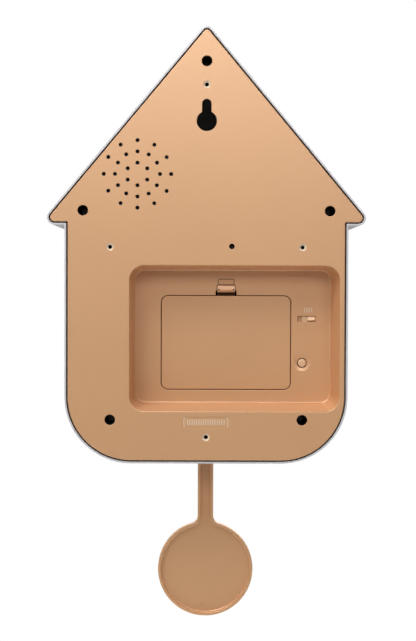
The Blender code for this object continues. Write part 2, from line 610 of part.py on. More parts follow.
def make_gears(nylon, steel):
    centre, motion = (0.0, DIAL_Z), (MOTION_X, DIAL_Z)
    half_motion = math.pi / MOTION_TEETH
    half_hour = math.pi / HOUR_TEETH
    arbor = prism([gear_outline(centre, CANNON_TEETH, GEAR_MODULE)], -70.6, -69.2)
    shaft = cylinder(centre, 1.3, -81.7, -62.0, steps=12)
    wheel = prism([gear_outline(centre, 36, 0.6)], -68.0, -67.0)
    piece("minute_wheel", shaft, steel, adds=[arbor, wheel], pivot=(0.0, -70.0, DIAL_Z))

    big = prism([gear_outline(motion, MOTION_TEETH, GEAR_MODULE, half_motion), circle(motion, 1.0, 12)],
                -70.6, -69.2)
    small = prism([gear_outline(motion, MOTION_PINION_TEETH, GEAR_MODULE), circle(motion, 1.0, 12)],
                  -72.6, -70.0)
    piece("motion_wheel", big, nylon, adds=[small], pivot=(MOTION_X, -70.0, DIAL_Z))

    disc = prism([gear_outline(centre, HOUR_TEETH, GEAR_MODULE, half_hour), circle(centre, 1.7, 16)],
                 -72.6, -71.4)
    pipe = prism([circle(centre, 2.6, 16), circle(centre, 1.7, 16)], -79.9, -72.0)
    piece("hour_wheel", disc, nylon, adds=[pipe], pivot=(0.0, -72.0, DIAL_Z))


def hand_outline(angle, length, tail, wide, hub_r):
    """Straight tapered hand with a round hub; angle is clockwise from twelve."""
    along = Vector((math.sin(angle), math.cos(angle)))
    side = Vector((along.y, -along.x))
    middle = Vector((0.0, DIAL_Z))
    open_angle = math.asin(wide / hub_r)
    points = [middle + along * length - side * (wide * 0.5), middle + along * length + side * (wide * 0.5)]
    for step in range(8):
        turn = open_angle + (math.pi - 2 * open_angle) * step / 7
        points.append(middle + along * (hub_r * math.cos(turn)) + side * (hub_r * math.sin(turn)))
    points += [middle - along * tail + side * wide, middle - along * tail - side * wide]
    for step in range(8):
        turn = math.pi + open_angle + (math.pi - 2 * open_angle) * step / 7
        points.append(middle + along * (hub_r * math.cos(turn)) + side * (hub_r * math.sin(turn)))
    return [tuple(point) for point in points]


def make_hands(gold):
    """The hands stand at ten past ten."""
    centre = (0.0, DIAL_Z)
    hour_angle, minute_angle = math.radians(305.0), math.radians(60.0)
    hour = prism([hand_outline(hour_angle, 30.0, 8.0, 1.6, 4.4), circle(centre, 2.9, 16)], -79.8, -79.2)
    piece("hour_hand", hour, gold, pivot=(0.0, -79.5, DIAL_Z))
    minute = prism([hand_outline(minute_angle, 44.0, 11.0, 1.3, 3.6), circle(centre, 1.6, 16)], -80.8, -80.2)
    piece("minute_hand", minute, gold, pivot=(0.0, -80.5, DIAL_Z))
    nut = turned([(1.6, -81.1), (3.0, -81.1), (3.0, -81.7), (2.4, -82.0), (1.6, -82.0)], centre, steps=16)
    piece("hand_nut", nut, gold, pivot=(0.0, -81.5, DIAL_Z))


# ---------------------------------------------------------------- bird

def make_bird(feathers, gold):
    body = ball((0.0, -46.0, -49.5), (8.5, 14.0, 8.5))
    head = ball((0.0, -56.5, -39.0), (6.8, 6.8, 6.8))
    tail = prism([[(-38.0, -49.0), (-24.0, -44.5), (-24.0, -42.5), (-38.0, -44.5)]], -4.0, 4.0, axis="X")
    leg = cylinder((0.0, -47.0), 2.0, CARRIAGE_Z[1] + GAP, -52.0, axis="Z", steps=12)
    pivot = (0.0, -46.0, CARRIAGE_Z[1])
    piece("bird", body, feathers, adds=[head, tail, leg], pivot=pivot)
    beak = turned([(0.0, -69.0), (2.0, -63.8), (0.0, -63.8)], (0.0, -39.5), steps=12)
    piece("bird_beak", beak, gold, pivot=pivot)


def make_bird_drive(white, nylon, metal, brass):
    """Carriage with a rack on one side, the gear that moves it, and the motor below the shelf."""
    pitch = math.pi * RACK_MODULE
    root, tip = RACK_X + 1.15 * RACK_MODULE, RACK_X - 0.75 * RACK_MODULE
    rack_start = BIRD_GEAR_Y - 2.0 * pitch
    side = [(5.0, -22.0), (5.0, -64.0), (root, -64.0)]
    for tooth in range(RACK_TEETH):
        middle = rack_start + (tooth + 0.5) * pitch
        side += [(root, middle - 0.30 * pitch), (tip, middle - 0.11 * pitch),
                 (tip, middle + 0.11 * pitch), (root, middle + 0.30 * pitch)]
    side.append((root, -22.0))
    carriage = prism([side], *CARRIAGE_Z, axis="Z")
    keel = box(-1.5, 1.5, -34.0, -24.0, -66.0, CARRIAGE_Z[0] + 1.0)
    piece("bird_carriage", carriage, white, adds=[keel], pivot=(0.0, -46.0, CARRIAGE_Z[1]))

    gear_r = RACK_MODULE * BIRD_GEAR_TEETH / 2
    pinion_r = RACK_MODULE * MOTOR_PINION_TEETH / 2
    gear_at = (RACK_X - gear_r, BIRD_GEAR_Y)
    motor_at = (gear_at[0] - gear_r - pinion_r, BIRD_GEAR_Y)
    gear_outlines = [gear_outline(gear_at, BIRD_GEAR_TEETH, RACK_MODULE), circle(gear_at, 1.3, 12)]
    gear = prism(gear_outlines, -63.2, -60.2, axis="Z")
    piece("bird_gear", gear, nylon, pivot=(*gear_at, -61.7))
    half_pinion = math.pi / MOTOR_PINION_TEETH
    pinion_teeth = gear_outline(motor_at, MOTOR_PINION_TEETH, RACK_MODULE, half_pinion)
    pinion = prism([pinion_teeth], -63.4, -60.0, axis="Z")
    shaft = cylinder(motor_at, 1.0, -67.0, -62.0, axis="Z", steps=12)
    piece("motor_pinion", pinion, brass, adds=[shaft], pivot=(*motor_at, -61.7))
    motor = turned([(1.4, -66.6), (8.6, -66.6), (9.2, -67.4), (9.2, -86.0), (8.4, -87.0), (1.4, -87.0)],
                   motor_at, "Z", 24)
    piece("bird_motor", motor, metal)

    shelf = box(-34.0, 10.0, -75.5, -18.0, -66.0, -64.0)
    flange = box(-34.0, 10.0, -76.3, -74.5, -84.0, -65.0)
    gear_post = cylinder(gear_at, 1.0, -65.0, -59.8, axis="Z", steps=12)
    cuts = [box(-1.9, 1.9, -68.6, -23.4, -70.0, -60.0),
            cylinder(motor_at, 1.5, -70.0, -60.0, axis="Z", steps=12)]
    bracket = piece("bird_bracket", shelf, metal, adds=[flange], cuts=cuts)
    combine(bracket, [gear_post], "UNION", (0.0, 0.0, 0.0))


def make_bird_door(white, gold, steel):
    hinge_x, hinge_y = BIRD_HINGE
    x_low, _, z_low, z_high = BIRD_DOOR
    panel = box(x_low, hinge_x, -81.0, -79.0, z_low, z_high)
    barrel = cylinder(BIRD_HINGE, 1.3, z_low, z_high, axis="Z", steps=16)
    knob_profile = [(0.0, -82.0), (1.2, -82.0), (1.5, -81.5), (0.9, -80.5), (0.0, -80.5)]
    knob = turned(knob_profile, (-16.5, -42.0), steps=12)
    piece("bird_door", panel, white, adds=[barrel, knob],
          cuts=[cylinder(BIRD_HINGE, 0.85, z_low - 1.0, z_high + 1.0, axis="Z", steps=12)],
          pivot=(hinge_x, hinge_y, -42.0))
    piece("bird_door_pin", cylinder(BIRD_HINGE, 0.5, -65.4, -18.6, axis="Z", steps=12), steel)
    flange = prism([rounded_box(DOORWAY, 1.4, steps=3)], -82.0, PANEL_FRONT_Y - GAP)
    tube = prism([rounded_box(DOORWAY, steps=3)], PANEL_FRONT_Y - 1.0, PANEL_BACK_Y)
    opening = prism([rounded_box(DOOR_OPENING, steps=3)], -83.0, PANEL_BACK_Y + 1.0)
    pin_hole = cylinder(BIRD_HINGE, 0.8, -65.8, -18.2, axis="Z", steps=12)
    piece("bird_door_frame", flange, gold, adds=[tube], cuts=[opening, pin_hole])


# ---------------------------------------------------------------- pendulum

def make_pendulum(gold):
    """Rod and bob in one moulding, hollow behind inside a raised rim."""
    front, back = PENDULUM_FRONT_Y, PENDULUM_BACK_Y
    rings = [flat_ring(pendulum_outline(1.2), front), flat_ring(pendulum_outline(0.0), front + 1.2),
             flat_ring(pendulum_outline(0.0), back - 0.4), flat_ring(pendulum_outline(0.4), back)]
    hollow = prism([pendulum_hollow()], back - PENDULUM_HOLLOW, back + 1.0)
    eye = cylinder((0.0, -219.0), 2.1, front - 1.0, back + 1.0, steps=16)
    piece("pendulum", loft(rings), gold, cuts=[hollow, eye], pivot=PIVOT)


def pendulum_hollow():
    """The hollow stops below the eye, so the rod's top stays solid."""
    outline = pendulum_outline(PENDULUM_RIM)
    top = ROD_TOP_Z - PENDULUM_RIM
    return [(x, -226.0) if z == top else (x, z) for x, z in outline]


def make_pendulum_drive(black, steel, magnet, copper):
    x, y, z = PIVOT
    hub = turned([(1.3, -44.6), (3.2, -44.6), (3.2, -36.9), (1.3, -36.9)], (x, z), steps=16)
    arm = box(-2.4, 2.4, -38.9, -36.9, -222.0, z - 2.6)
    hook = cylinder((0.0, -219.0), 1.4, -46.2, -37.5, steps=12)
    front_arm = box(-2.4, 2.4, -44.6, -42.8, -213.6, z - 2.6)
    piece("pendulum_hanger", hub, black, adds=[arm, hook, front_arm], pivot=PIVOT)
    piece("pendulum_magnet", cylinder((x, -210.5), 3.6, -47.4, -44.9), magnet, pivot=PIVOT)
    piece("pendulum_pivot", cylinder((x, z), 1.0, -48.8, -33.2, steps=12), steel)
    coil = turned([(2.6, -54.6), (6.6, -54.6), (6.6, -48.2), (2.6, -48.2)], (x, -210.5), steps=24)
    piece("drive_coil", coil, copper)

    top = box(-17.0, 17.0, -57.0, -33.4, -193.2, -190.4)
    legs = [box(side * 17.0 - 1.3, side * 17.0 + 1.3, -49.0, -35.0, -229.5, -191.4) for side in (-1, 1)]
    ears = [box(-4.0, 4.0, y_low, y_low + 1.8, z - 4.0, -192.5) for y_low in (-47.2, -36.2)]
    coil_plate = box(-10.0, 10.0, -57.0, -55.0, -219.0, -192.5)
    piece("drive_bracket", top, black, adds=legs + ears + [coil_plate],
          cuts=[cylinder((x, z), 1.25, -50.0, -32.0, steps=12)])


# ---------------------------------------------------------------- build

def main():
    clear_scene()
    gold = material("champagne_gold", (0.66, 0.42, 0.24), 0.38, 0.7)
    white = material("white_plastic", (0.80, 0.79, 0.77), 0.35)
    black = material("black_plastic", (0.03, 0.03, 0.03), 0.5)
    nylon = material("natural_nylon", (0.75, 0.72, 0.62), 0.5)
    green = material("board_green", (0.03, 0.18, 0.08), 0.5)
    steel = material("zinc_steel", (0.55, 0.55, 0.55), 0.35, 1.0)
    dark_steel = material("dark_steel", (0.12, 0.11, 0.11), 0.4, 1.0)
    copper = material("copper_winding", (0.55, 0.24, 0.10), 0.4, 1.0)
    brass = material("brass", (0.70, 0.50, 0.20), 0.3, 1.0)
    paper = material("speaker_paper", (0.05, 0.05, 0.05), 0.9)
    magnet = material("ferrite", (0.08, 0.08, 0.09), 0.6)
    cell = material("cell_sleeve", (0.10, 0.11, 0.13), 0.4, 0.4)

    make_front_shell(white)
    make_front_panel(white)
    make_rear_cover(gold)
    make_case_screws(dark_steel)
    make_battery_door(gold)
    make_battery_latch(gold)
    make_battery_box(black)
    make_batteries(cell, steel)
    make_controls(gold, green, black, steel)
    make_speaker(steel, paper, magnet)
    make_dial(white, gold)
    make_movement(black, copper, brass)
    make_gears(nylon, steel)
    make_hands(gold)
    make_bird(white, gold)
    make_bird_drive(white, nylon, steel, brass)
    make_bird_door(white, gold, steel)
    make_pendulum(gold)
    make_pendulum_drive(black, steel, magnet, copper)


main()
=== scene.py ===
"""Looks of the cuckoo clock: fine meshes, procedural materials, studio light and camera.

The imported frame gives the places.  Shapes are worked out in millimetres and turned into metres
when a mesh is made.  X runs across the clock, Y from front (-Y) to back (+Y), and Z up.
"""
import json
import math

import bmesh
import bpy
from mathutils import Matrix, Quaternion, Vector


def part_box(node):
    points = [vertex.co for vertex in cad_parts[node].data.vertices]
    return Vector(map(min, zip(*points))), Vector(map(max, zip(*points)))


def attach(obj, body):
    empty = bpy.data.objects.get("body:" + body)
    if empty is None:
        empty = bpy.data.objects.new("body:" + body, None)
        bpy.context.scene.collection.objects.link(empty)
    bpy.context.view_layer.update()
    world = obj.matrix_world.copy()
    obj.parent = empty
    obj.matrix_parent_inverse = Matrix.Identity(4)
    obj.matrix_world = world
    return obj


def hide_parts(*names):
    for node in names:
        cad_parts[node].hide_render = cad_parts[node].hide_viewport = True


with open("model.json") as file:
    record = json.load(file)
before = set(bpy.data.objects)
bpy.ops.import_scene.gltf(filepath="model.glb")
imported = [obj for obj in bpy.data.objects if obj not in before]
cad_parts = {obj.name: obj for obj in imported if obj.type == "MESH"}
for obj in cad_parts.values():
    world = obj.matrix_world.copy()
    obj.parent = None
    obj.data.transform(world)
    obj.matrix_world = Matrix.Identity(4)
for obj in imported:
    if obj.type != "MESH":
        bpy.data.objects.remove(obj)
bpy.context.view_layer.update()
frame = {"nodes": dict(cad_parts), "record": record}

MM = 0.001


def span(node):
    """Lowest and highest corner of a CAD node, in millimetres."""
    low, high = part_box(node)
    return [value / MM for value in low], [value / MM for value in high]


def middle_xz(node):
    """Middle of a CAD node, as its place across the clock and its height."""
    (x_low, _, z_low), (x_high, _, z_high) = span(node)
    return (x_low + x_high) / 2, (z_low + z_high) / 2


# Places taken from the frame
SHELL_LOW = span("front_shell")[0]
COVER_Y = span("rear_cover")[1][1]
DOOR_LOW, DOOR_HIGH = span("battery_door")
LATCH_LOW, LATCH_HIGH = span("battery_latch")
DIAL_Z = middle_xz("dial")[1]
SPEAKER = middle_xz("speaker_frame")
CASE_SCREWS = [middle_xz(f"case_screw_{number}") for number in range(1, 6)]
FRAME_SCREW = middle_xz("bird_frame_screw")
BUTTON = middle_xz("set_button")

# How far a cutter runs past the face that it opens
OVERRUN = 1.0
# Steps in the rounding of a turned corner
SOFT_STEPS = 3

# Sharp corners of the house shape, and the radius of each
ROOF_APEX_Z = 44.3
EAVE_TIP_X = 105.3
EAVE_Z = -82.1
BODY_X = 89.0
BASE_Z = SHELL_LOW[2]
FOOT_R, NOOK_R, EAVE_R, APEX_R = 42.0, 0.5, 4.7, 4.1
LEAST_R = 0.5

# Walls and front panel.  A box is (x_low, x_high, z_low, z_high, corner radius)
WALL, REAR_LIP, LIP_DEPTH = 2.2, 1.1, 12.0
FRONT_RIM = 5.0
PANEL_FRONT_Y, PANEL_BACK_Y = -79.0, -76.8
PANEL_GAP = 0.3
BOSS_R, BOSS_GAP = 3.9, 0.3
PILOT_R, PILOT_END_Y = 1.9, -40.0
PENDULUM_SLOT = (-11.5, 11.5, -47.5, -36.8, 1.5)
DOORWAY = (-25.0, 25.0, -68.0, -16.0, 2.5)
DIAL_HOLE_R = 56.0
DIAL_FRONT_Y = -76.6

# Rear cover
COVER_INSET = 1.95
COVER_THICK = 2.2
COVER_EDGE_R = 0.6
THROUGH_COVER_Y = -3.5
INSIDE_COVER_Y = -1.0
SMALL_HOLES = [(0.0, 5.8), (60.4, -95.9), (-60.4, -95.9), (0.0, -215.4)]
COUNTERSINK_R = 2.6
COUNTERSINK = [(0.0, -3.2), (1.25, -3.2), (1.25, -1.0), (2.35, -0.06), (COUNTERSINK_R, 0.05),
               (3.2, 0.6), (0.0, 0.6)]
SCREW_HOLE_R = 3.3
SCREW_SEAT_Y = -20.0
SLEEVE_R, SLEEVE_END_Y = 4.6, -22.0
FRAME_SCREW_HOLE_R, FRAME_SCREW_SEAT_Y = 1.75, -10.5
FRAME_SLEEVE_R, FRAME_SLEEVE_END_Y = 3.4, -12.0
SPEAKER_RIM_IN, SPEAKER_RIM_OUT, SPEAKER_RIM_END_Y = 23.8, 24.6, -6.0
KEYHOLE_Z, KEYHOLE_R, KEYHOLE_SLOT_R, KEYHOLE_TOP_Z = -17.0, 6.3, 2.9, -3.3
GRILLE_RINGS = [(7.05, 6), (14.1, 12), (21.1, 12)]
GRILLE_HOLE_R = 1.25
MARK_PANEL = (-14.7, 14.7, -209.5, -202.5, 1.0)
MARK_DEPTH = 0.3

# Tray, and what sits in its floor
TRAY_FLOOR_Y = -25.0
TRAY_BACK_Y = -28.2
TRAY_WALL = 2.0
TRAY_MOUTH = (-84.0, 48.2, -199.0, -107.3, 9.3)
TRAY_FLOOR = (-80.6, 46.4, -195.9, -109.5, 6.7)
TRAY_MOUTH_ROUND, TRAY_FLOOR_ROUND = 0.55, 1.1
TRAY_ROUND_STEPS = 5
DOOR_BOX = (DOOR_LOW[0], DOOR_HIGH[0], DOOR_LOW[2], DOOR_HIGH[2], 4.2)
DOOR_SEAM = 0.5
DOOR_THICK = 1.7
DOOR_ROOM = 0.6
CELL_ROOM = (-53.4, 27.6, -185.8, -128.3, 2.0)
LATCH_X = (LATCH_LOW[0] + LATCH_HIGH[0]) / 2
LATCH_SLOT = (-19.65, -6.15, -128.6, -123.0, 0.6)
LATCH_FRAME = (LATCH_X - 4.9, LATCH_X + 4.9, -119.2, -116.0, 0.3)
LIP_SEAT = (LATCH_X - 6.1, LATCH_X + 6.1, -123.4, -119.5, 0.8)
LIP_SEAT_DEPTH = 0.7
LIP_HOLES = [(LATCH_X - 4.8, -122.5), (LATCH_X + 4.8, -122.5)]
SWITCH_SLOT = (-70.5, -59.0, -143.1, -139.4, 0.5)
KNOB_BOX = (-70.1, -65.5, -142.6, -139.9, 0.5)
SLIDE_ROOM = (-77.0, -55.4, -145.0, -137.5)
SLIDE_ROOM_Y = -26.2

# Bird's door
SHUTTER = (-20.6, 19.4, -63.6, -20.4, 0.4)
SHUTTER_FRONT_Y, SHUTTER_BACK_Y = -81.0, -79.0
HINGE = (19.4, -80.0)
PIN_R = 0.8
DOOR_OPENING = (-21.0, 21.0, -64.0, -20.0, 1.0)

# Pendulum
PENDULUM_LOW, PENDULUM_HIGH = span("pendulum")
BOB_R = PENDULUM_HIGH[0]
BOB_Z = PENDULUM_LOW[2] + BOB_R
ROD_TOP_Z = PENDULUM_HIGH[2]
ROD_HALF = 5.1
BOB_FILLET = 5.0
PENDULUM_RIM, HOLLOW_DEPTH, HOLLOW_TOP_Z = 1.9, 3.2, -226.0
PENDULUM_EYE, PENDULUM_EYE_R = (0.0, -219.0), 2.1


# ---------------------------------------------------------------- outlines

def offset_corners(corners, inset):
    """Corners of a counter-clockwise polygon with each side moved inwards."""
    moved = []
    for before, here, after in zip(corners[-1:] + corners[:-1], corners, corners[1:] + corners[:1]):
        side_in, side_out = (here - before).normalized(), (after - here).normalized()
        normal_in = Vector((-side_in.y, side_in.x))
        normal_out = Vector((-side_out.y, side_out.x))
        moved.append(here + (normal_in + normal_out) * (inset / (1 + normal_in.dot(normal_out))))
    return moved


def arc(centre, radius, start, sweep, steps):
    """Points along an arc, with both of its ends."""
    angles = [start + sweep * step / steps for step in range(steps + 1)]
    return [(centre[0] + radius * math.cos(angle), centre[1] + radius * math.sin(angle))
            for angle in angles]


def round_corners(corners, radii, steps):
    """Polygon with an arc at each corner, with its own number of steps."""
    points = []
    corners = [Vector(corner) for corner in corners]
    neighbours = zip(corners[-1:] + corners[:-1], corners, corners[1:] + corners[:1])
    for (before, here, after), radius, count in zip(neighbours, radii, steps):
        to_before, to_after = (before - here).normalized(), (after - here).normalized()
        half = to_before.angle(to_after) / 2
        centre = here + (to_before + to_after).normalized() * (radius / math.sin(half))
        reach = radius / math.tan(half)
        first, last = here + to_before * reach - centre, here + to_after * reach - centre
        start = math.atan2(first.y, first.x)
        sweep = (math.atan2(last.y, last.x) - start + math.pi) % (2 * math.pi) - math.pi
        points += arc(centre, radius, start, sweep, count)
    return points


def house_outline(inset):
    right = [(BODY_X, BASE_Z), (BODY_X, EAVE_Z), (EAVE_TIP_X, EAVE_Z), (0.0, ROOF_APEX_Z)]
    left = [(-x, z) for x, z in reversed(right[:-1])]
    corners = offset_corners([Vector(point) for point in right + left], inset)
    radii = [FOOT_R - inset, NOOK_R, max(EAVE_R - inset, LEAST_R), max(APEX_R - inset, LEAST_R)]
    steps = [28, 4, 12, 12]
    return round_corners(corners, radii + radii[2::-1], steps + steps[2::-1])


def rounded_box(box, grow=0.0, steps=10):
    """Rounded rectangle from (x_low, x_high, z_low, z_high, corner radius), optionally grown."""
    x_low, x_high, z_low, z_high, radius = box
    corners = [(x_low - grow, z_low - grow), (x_high + grow, z_low - grow),
               (x_high + grow, z_high + grow), (x_low - grow, z_high + grow)]
    return round_corners(corners, [max(radius + grow, 0.05)] * 4, [steps] * 4)


def circle(centre, radius, steps=32, phase=0.0):
    return arc(centre, radius, phase, 2 * math.pi, steps)[:-1]


def rectangle(u_low, u_high, v_low, v_high):
    return [(u_low, v_low), (u_high, v_low), (u_high, v_high), (u_low, v_high)]


def keyhole_outline(grow):
    """Round hole with a round-topped slot rising from it."""
    slot_r, hole_r = KEYHOLE_SLOT_R + grow, KEYHOLE_R + grow
    join = math.asin(slot_r / hole_r)
    hole = arc((0.0, KEYHOLE_Z), hole_r, math.pi / 2 + join, 2 * math.pi - 2 * join, 48)
    return hole + arc((0.0, KEYHOLE_TOP_Z - KEYHOLE_SLOT_R), slot_r, 0.0, math.pi, 16)


def pendulum_outline(inset, top=ROD_TOP_Z):
    """Rod, fillets and round bob in one closed line, moved inwards by inset."""
    bob_r, rod, fillet = BOB_R - inset, ROD_HALF - inset, BOB_FILLET + inset
    fillet_x = rod + fillet
    fillet_z = BOB_Z + math.sqrt((bob_r + fillet) ** 2 - fillet_x ** 2)
    meet = math.atan2(fillet_z - BOB_Z, fillet_x)
    right = [(rod, top - inset)] + arc((fillet_x, fillet_z), fillet, math.pi, meet, 10)
    right += arc((0.0, BOB_Z), bob_r, meet, -(meet + math.pi / 2), 48)[1:]
    left = [(-x, z) for x, z in right[-2::-1]]
    return right + left


# ---------------------------------------------------------------- solids

def placed(u, v, w, axis):
    """World position of a point (u, v) in the plane square to an axis, at w along it."""
    return {"X": (w, u, v), "Y": (u, w, v), "Z": (u, v, w)}[axis]


def loft(rings, closed=False):
    """Join rings of 3D points that have the same count; the ends are capped unless closed."""
    mesh = bmesh.new()
    loops = [[mesh.verts.new(point) for point in ring] for ring in rings]
    pairs = list(zip(loops, loops[1:] + loops[:1])) if closed else list(zip(loops, loops[1:]))
    for low, high in pairs:
        for index, vert in enumerate(low):
            following = (index + 1) % len(low)
            mesh.faces.new((vert, low[following], high[following], high[index]))
    if not closed:
        mesh.faces.new(loops[0])
        mesh.faces.new(loops[-1])
    bmesh.ops.recalc_face_normals(mesh, faces=mesh.faces[:])
    return mesh


def ring_at(outline, w, axis="Y"):
    return [placed(u, v, w, axis) for u, v in outline]


def quarter(radius, steps=4):
    """(sideways, along) steps of a quarter round, from the wall's side to the face's side."""
    angles = [math.pi / 2 * step / steps for step in range(steps + 1)]
    return [(radius * (1 - math.cos(angle)), radius * (math.sin(angle) - 1)) for angle in angles]


def opening(outline, bottom, face, soften, steps=4):
    """Cutter for a hole whose mouth is rounded where it meets a face; outline takes a growth."""
    rings = [ring_at(outline(0.0), bottom)]
    rings += [ring_at(outline(out), face + along) for out, along in quarter(soften, steps)]
    rings.append(ring_at(outline(soften), face + OVERRUN))
    return loft(rings)


def round_opening(centre, radius, bottom, soften, sides, steps=4):
    """Cutter for a round hole in the rear face."""
    return opening(lambda grow: circle(centre, radius + grow, sides), bottom, COVER_Y, soften,
                   steps)


def slab(outline, low, high, soften_low=0.0, soften_high=0.0):
    """Flat piece with rounded edges; outline takes a growth, which is negative inwards."""
    rings = []
    if soften_low:
        rings += [ring_at(outline(-out), low - along)
                  for out, along in reversed(quarter(soften_low))]
    else:
        rings.append(ring_at(outline(0.0), low))
    if soften_high:
        rings += [ring_at(outline(-out), high + along) for out, along in quarter(soften_high)]
    else:
        rings.append(ring_at(outline(0.0), high))
    return loft(rings)


def turned(profile, centre, axis="Y", steps=48):
    """Solid of revolution from (radius, distance along the axis) points."""
    mesh = bmesh.new()
    rings = []
    for radius, along in profile:
        points = circle(centre, radius, steps) if radius else [centre]
        rings.append([mesh.verts.new(placed(u, v, along, axis)) for u, v in points])
    if profile[0][0] > 0:
        rings.append(rings[0])
    for low, high in zip(rings, rings[1:]):
        for index in range(steps):
            following = (index + 1) % steps
            corners = [low[index % len(low)], low[following % len(low)],
                       high[following % len(high)], high[index % len(high)]]
            mesh.faces.new(list(dict.fromkeys(corners)))
    bmesh.ops.recalc_face_normals(mesh, faces=mesh.faces[:])
    return mesh


def cylinder(centre, radius, start, end, steps, axis="Y"):
    return turned([(0.0, start), (radius, start), (radius, end), (0.0, end)], centre, axis, steps)


def soft_profile(corners, radius):
    """Turned profile whose corners off the axis are rounded."""
    points = []
    for index, corner in enumerate(corners):
        if corner[0] == 0 or index in (0, len(corners) - 1) and corners[0][0] == 0:
            points.append(corner)
            continue
        before, after = Vector(corners[index - 1]), Vector(corners[(index + 1) % len(corners)])
        here = Vector(corner)
        reach = min(radius, (before - here).length / 2.1, (after - here).length / 2.1)
        start = here + (before - here).normalized() * reach
        end = here + (after - here).normalized() * reach
        for step in range(SOFT_STEPS + 1):
            t = step / SOFT_STEPS
            point = start * (1 - t) ** 2 + here * (2 * t * (1 - t)) + end * t ** 2
            points.append((point.x, point.y))
    return points


# ---------------------------------------------------------------- pieces

def raw_object(name, solid):
    bmesh.ops.scale(solid, verts=solid.verts[:], vec=(MM, MM, MM))
    mesh = bpy.data.meshes.new(name)
    solid.to_mesh(mesh)
    solid.free()
    item = bpy.data.objects.new(name, mesh)
    bpy.context.scene.collection.objects.link(item)
    return item


def carve(item, solids, operation):
    """Apply one Boolean with a group of helper solids, and clear the helpers away."""
    group = bpy.data.collections.new("helpers")
    bpy.context.scene.collection.children.link(group)
    helpers = []
    for solid in solids:
        helper = raw_object("helper", solid)
        bpy.context.scene.collection.objects.unlink(helper)
        group.objects.link(helper)
        helpers.append(helper)
    modifier = item.modifiers.new("Boolean", "BOOLEAN")
    modifier.operation = operation
    modifier.operand_type = "COLLECTION"
    modifier.collection = group
    modifier.solver = "EXACT"
    apply_modifiers(item)
    for helper in helpers:
        bpy.data.objects.remove(helper)
    bpy.data.collections.remove(group)


def apply_modifiers(item):
    graph = bpy.context.evaluated_depsgraph_get()
    mesh = bpy.data.meshes.new_from_object(item.evaluated_get(graph))
    item.modifiers.clear()
    item.data = mesh


def piece(name, solid, finish, body, node=None, adds=(), cuts=(), bevel=0.0, sharp=32.0):
    """A visible piece that rides on a body and may stand for a CAD node."""
    item = raw_object(name, solid)
    if adds:
        carve(item, adds, "UNION")
    if cuts:
        carve(item, cuts, "DIFFERENCE")
    if bevel:
        rounding = item.modifiers.new("Bevel", "BEVEL")
        rounding.width = bevel * MM
        rounding.segments = 3
        rounding.limit_method = "ANGLE"
        apply_modifiers(item)
    item.data.shade_smooth()
    item.data.set_sharp_from_angle(angle=math.radians(sharp))
    weighted = item.modifiers.new("Weighted normals", "WEIGHTED_NORMAL")
    weighted.keep_sharp = True
    item.data.materials.clear()
    item.data.materials.append(finish)
    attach(item, body)
    if node:
        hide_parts(node)
    return item


def box(x_low, x_high, y_low, y_high, z_low, z_high):
    return prism(rectangle(x_low, x_high, z_low, z_high), y_low, y_high)


def prism(outline, start, end, axis="Y"):
    return loft([ring_at(outline, start, axis), ring_at(outline, end, axis)])


def unpaint(item, second_finish, hidden):
    """Faces for which hidden(centre) holds take a second finish, such as the unpainted moulding, a
    painted shade and a painted highlight.
    """
    index = len(item.data.materials)
    item.data.materials.append(second_finish)
    for face in item.data.polygons:
        if hidden(face.center / MM):
            face.material_index = index


SLOT_OF = {part["node"]: part["material_slot"] for part in frame["record"]["subparts"]}


# ---------------------------------------------------------------- materials

# Roughness wanders this far to either side, and the grain stands this high in metres
ROUGHNESS_SPREAD = 0.05
GRAIN_HEIGHT = 0.0002


def add_node(tree, kind, **inputs):
    node = tree.nodes.new(kind)
    for name, value in inputs.items():
        node.inputs[name.replace("_", " ")].default_value = value
    return node


def surface(name, colour, roughness, metallic=0.0, tint=0.04, grain=900.0, bump=0.02, patch=18.0,
            coat=0.0, coat_roughness=0.2, specular=0.5):
    """Procedural finish: slow colour drift, uneven roughness and a fine grain."""
    material = bpy.data.materials.new(name)
    material.use_nodes = True
    tree = material.node_tree
    shader = tree.nodes["Principled BSDF"]
    shader.inputs["Metallic"].default_value = metallic
    shader.inputs["Coat Weight"].default_value = coat
    shader.inputs["Coat Roughness"].default_value = coat_roughness
    shader.inputs["Specular IOR Level"].default_value = specular
    place = tree.nodes.new("ShaderNodeTexCoord")

    drift = add_node(tree, "ShaderNodeTexNoise", Scale=patch, Detail=3.0)
    tree.links.new(place.outputs["Object"], drift.inputs["Vector"])
    ramp = tree.nodes.new("ShaderNodeValToRGB")
    ramp.color_ramp.elements[0].position = 0.3
    ramp.color_ramp.elements[1].position = 0.7
    ramp.color_ramp.elements[0].color = (*[value * (1 - tint) for value in colour], 1.0)
    ramp.color_ramp.elements[1].color = (*[min(value * (1 + tint), 1.0) for value in colour], 1.0)
    tree.links.new(drift.outputs["Fac"], ramp.inputs["Fac"])
    tree.links.new(ramp.outputs["Color"], shader.inputs["Base Color"])

    fine = add_node(tree, "ShaderNodeTexNoise", Scale=grain, Detail=2.0)
    tree.links.new(place.outputs["Object"], fine.inputs["Vector"])
    spread = add_node(tree, "ShaderNodeMapRange", To_Min=roughness - ROUGHNESS_SPREAD,
                      To_Max=roughness + ROUGHNESS_SPREAD)
    tree.links.new(fine.outputs["Fac"], spread.inputs["Value"])
    tree.links.new(spread.outputs["Result"], shader.inputs["Roughness"])
    if bump:
        relief = add_node(tree, "ShaderNodeBump", Strength=bump, Distance=GRAIN_HEIGHT)
        tree.links.new(fine.outputs["Fac"], relief.inputs["Height"])
        tree.links.new(relief.outputs["Normal"], shader.inputs["Normal"])
    return material


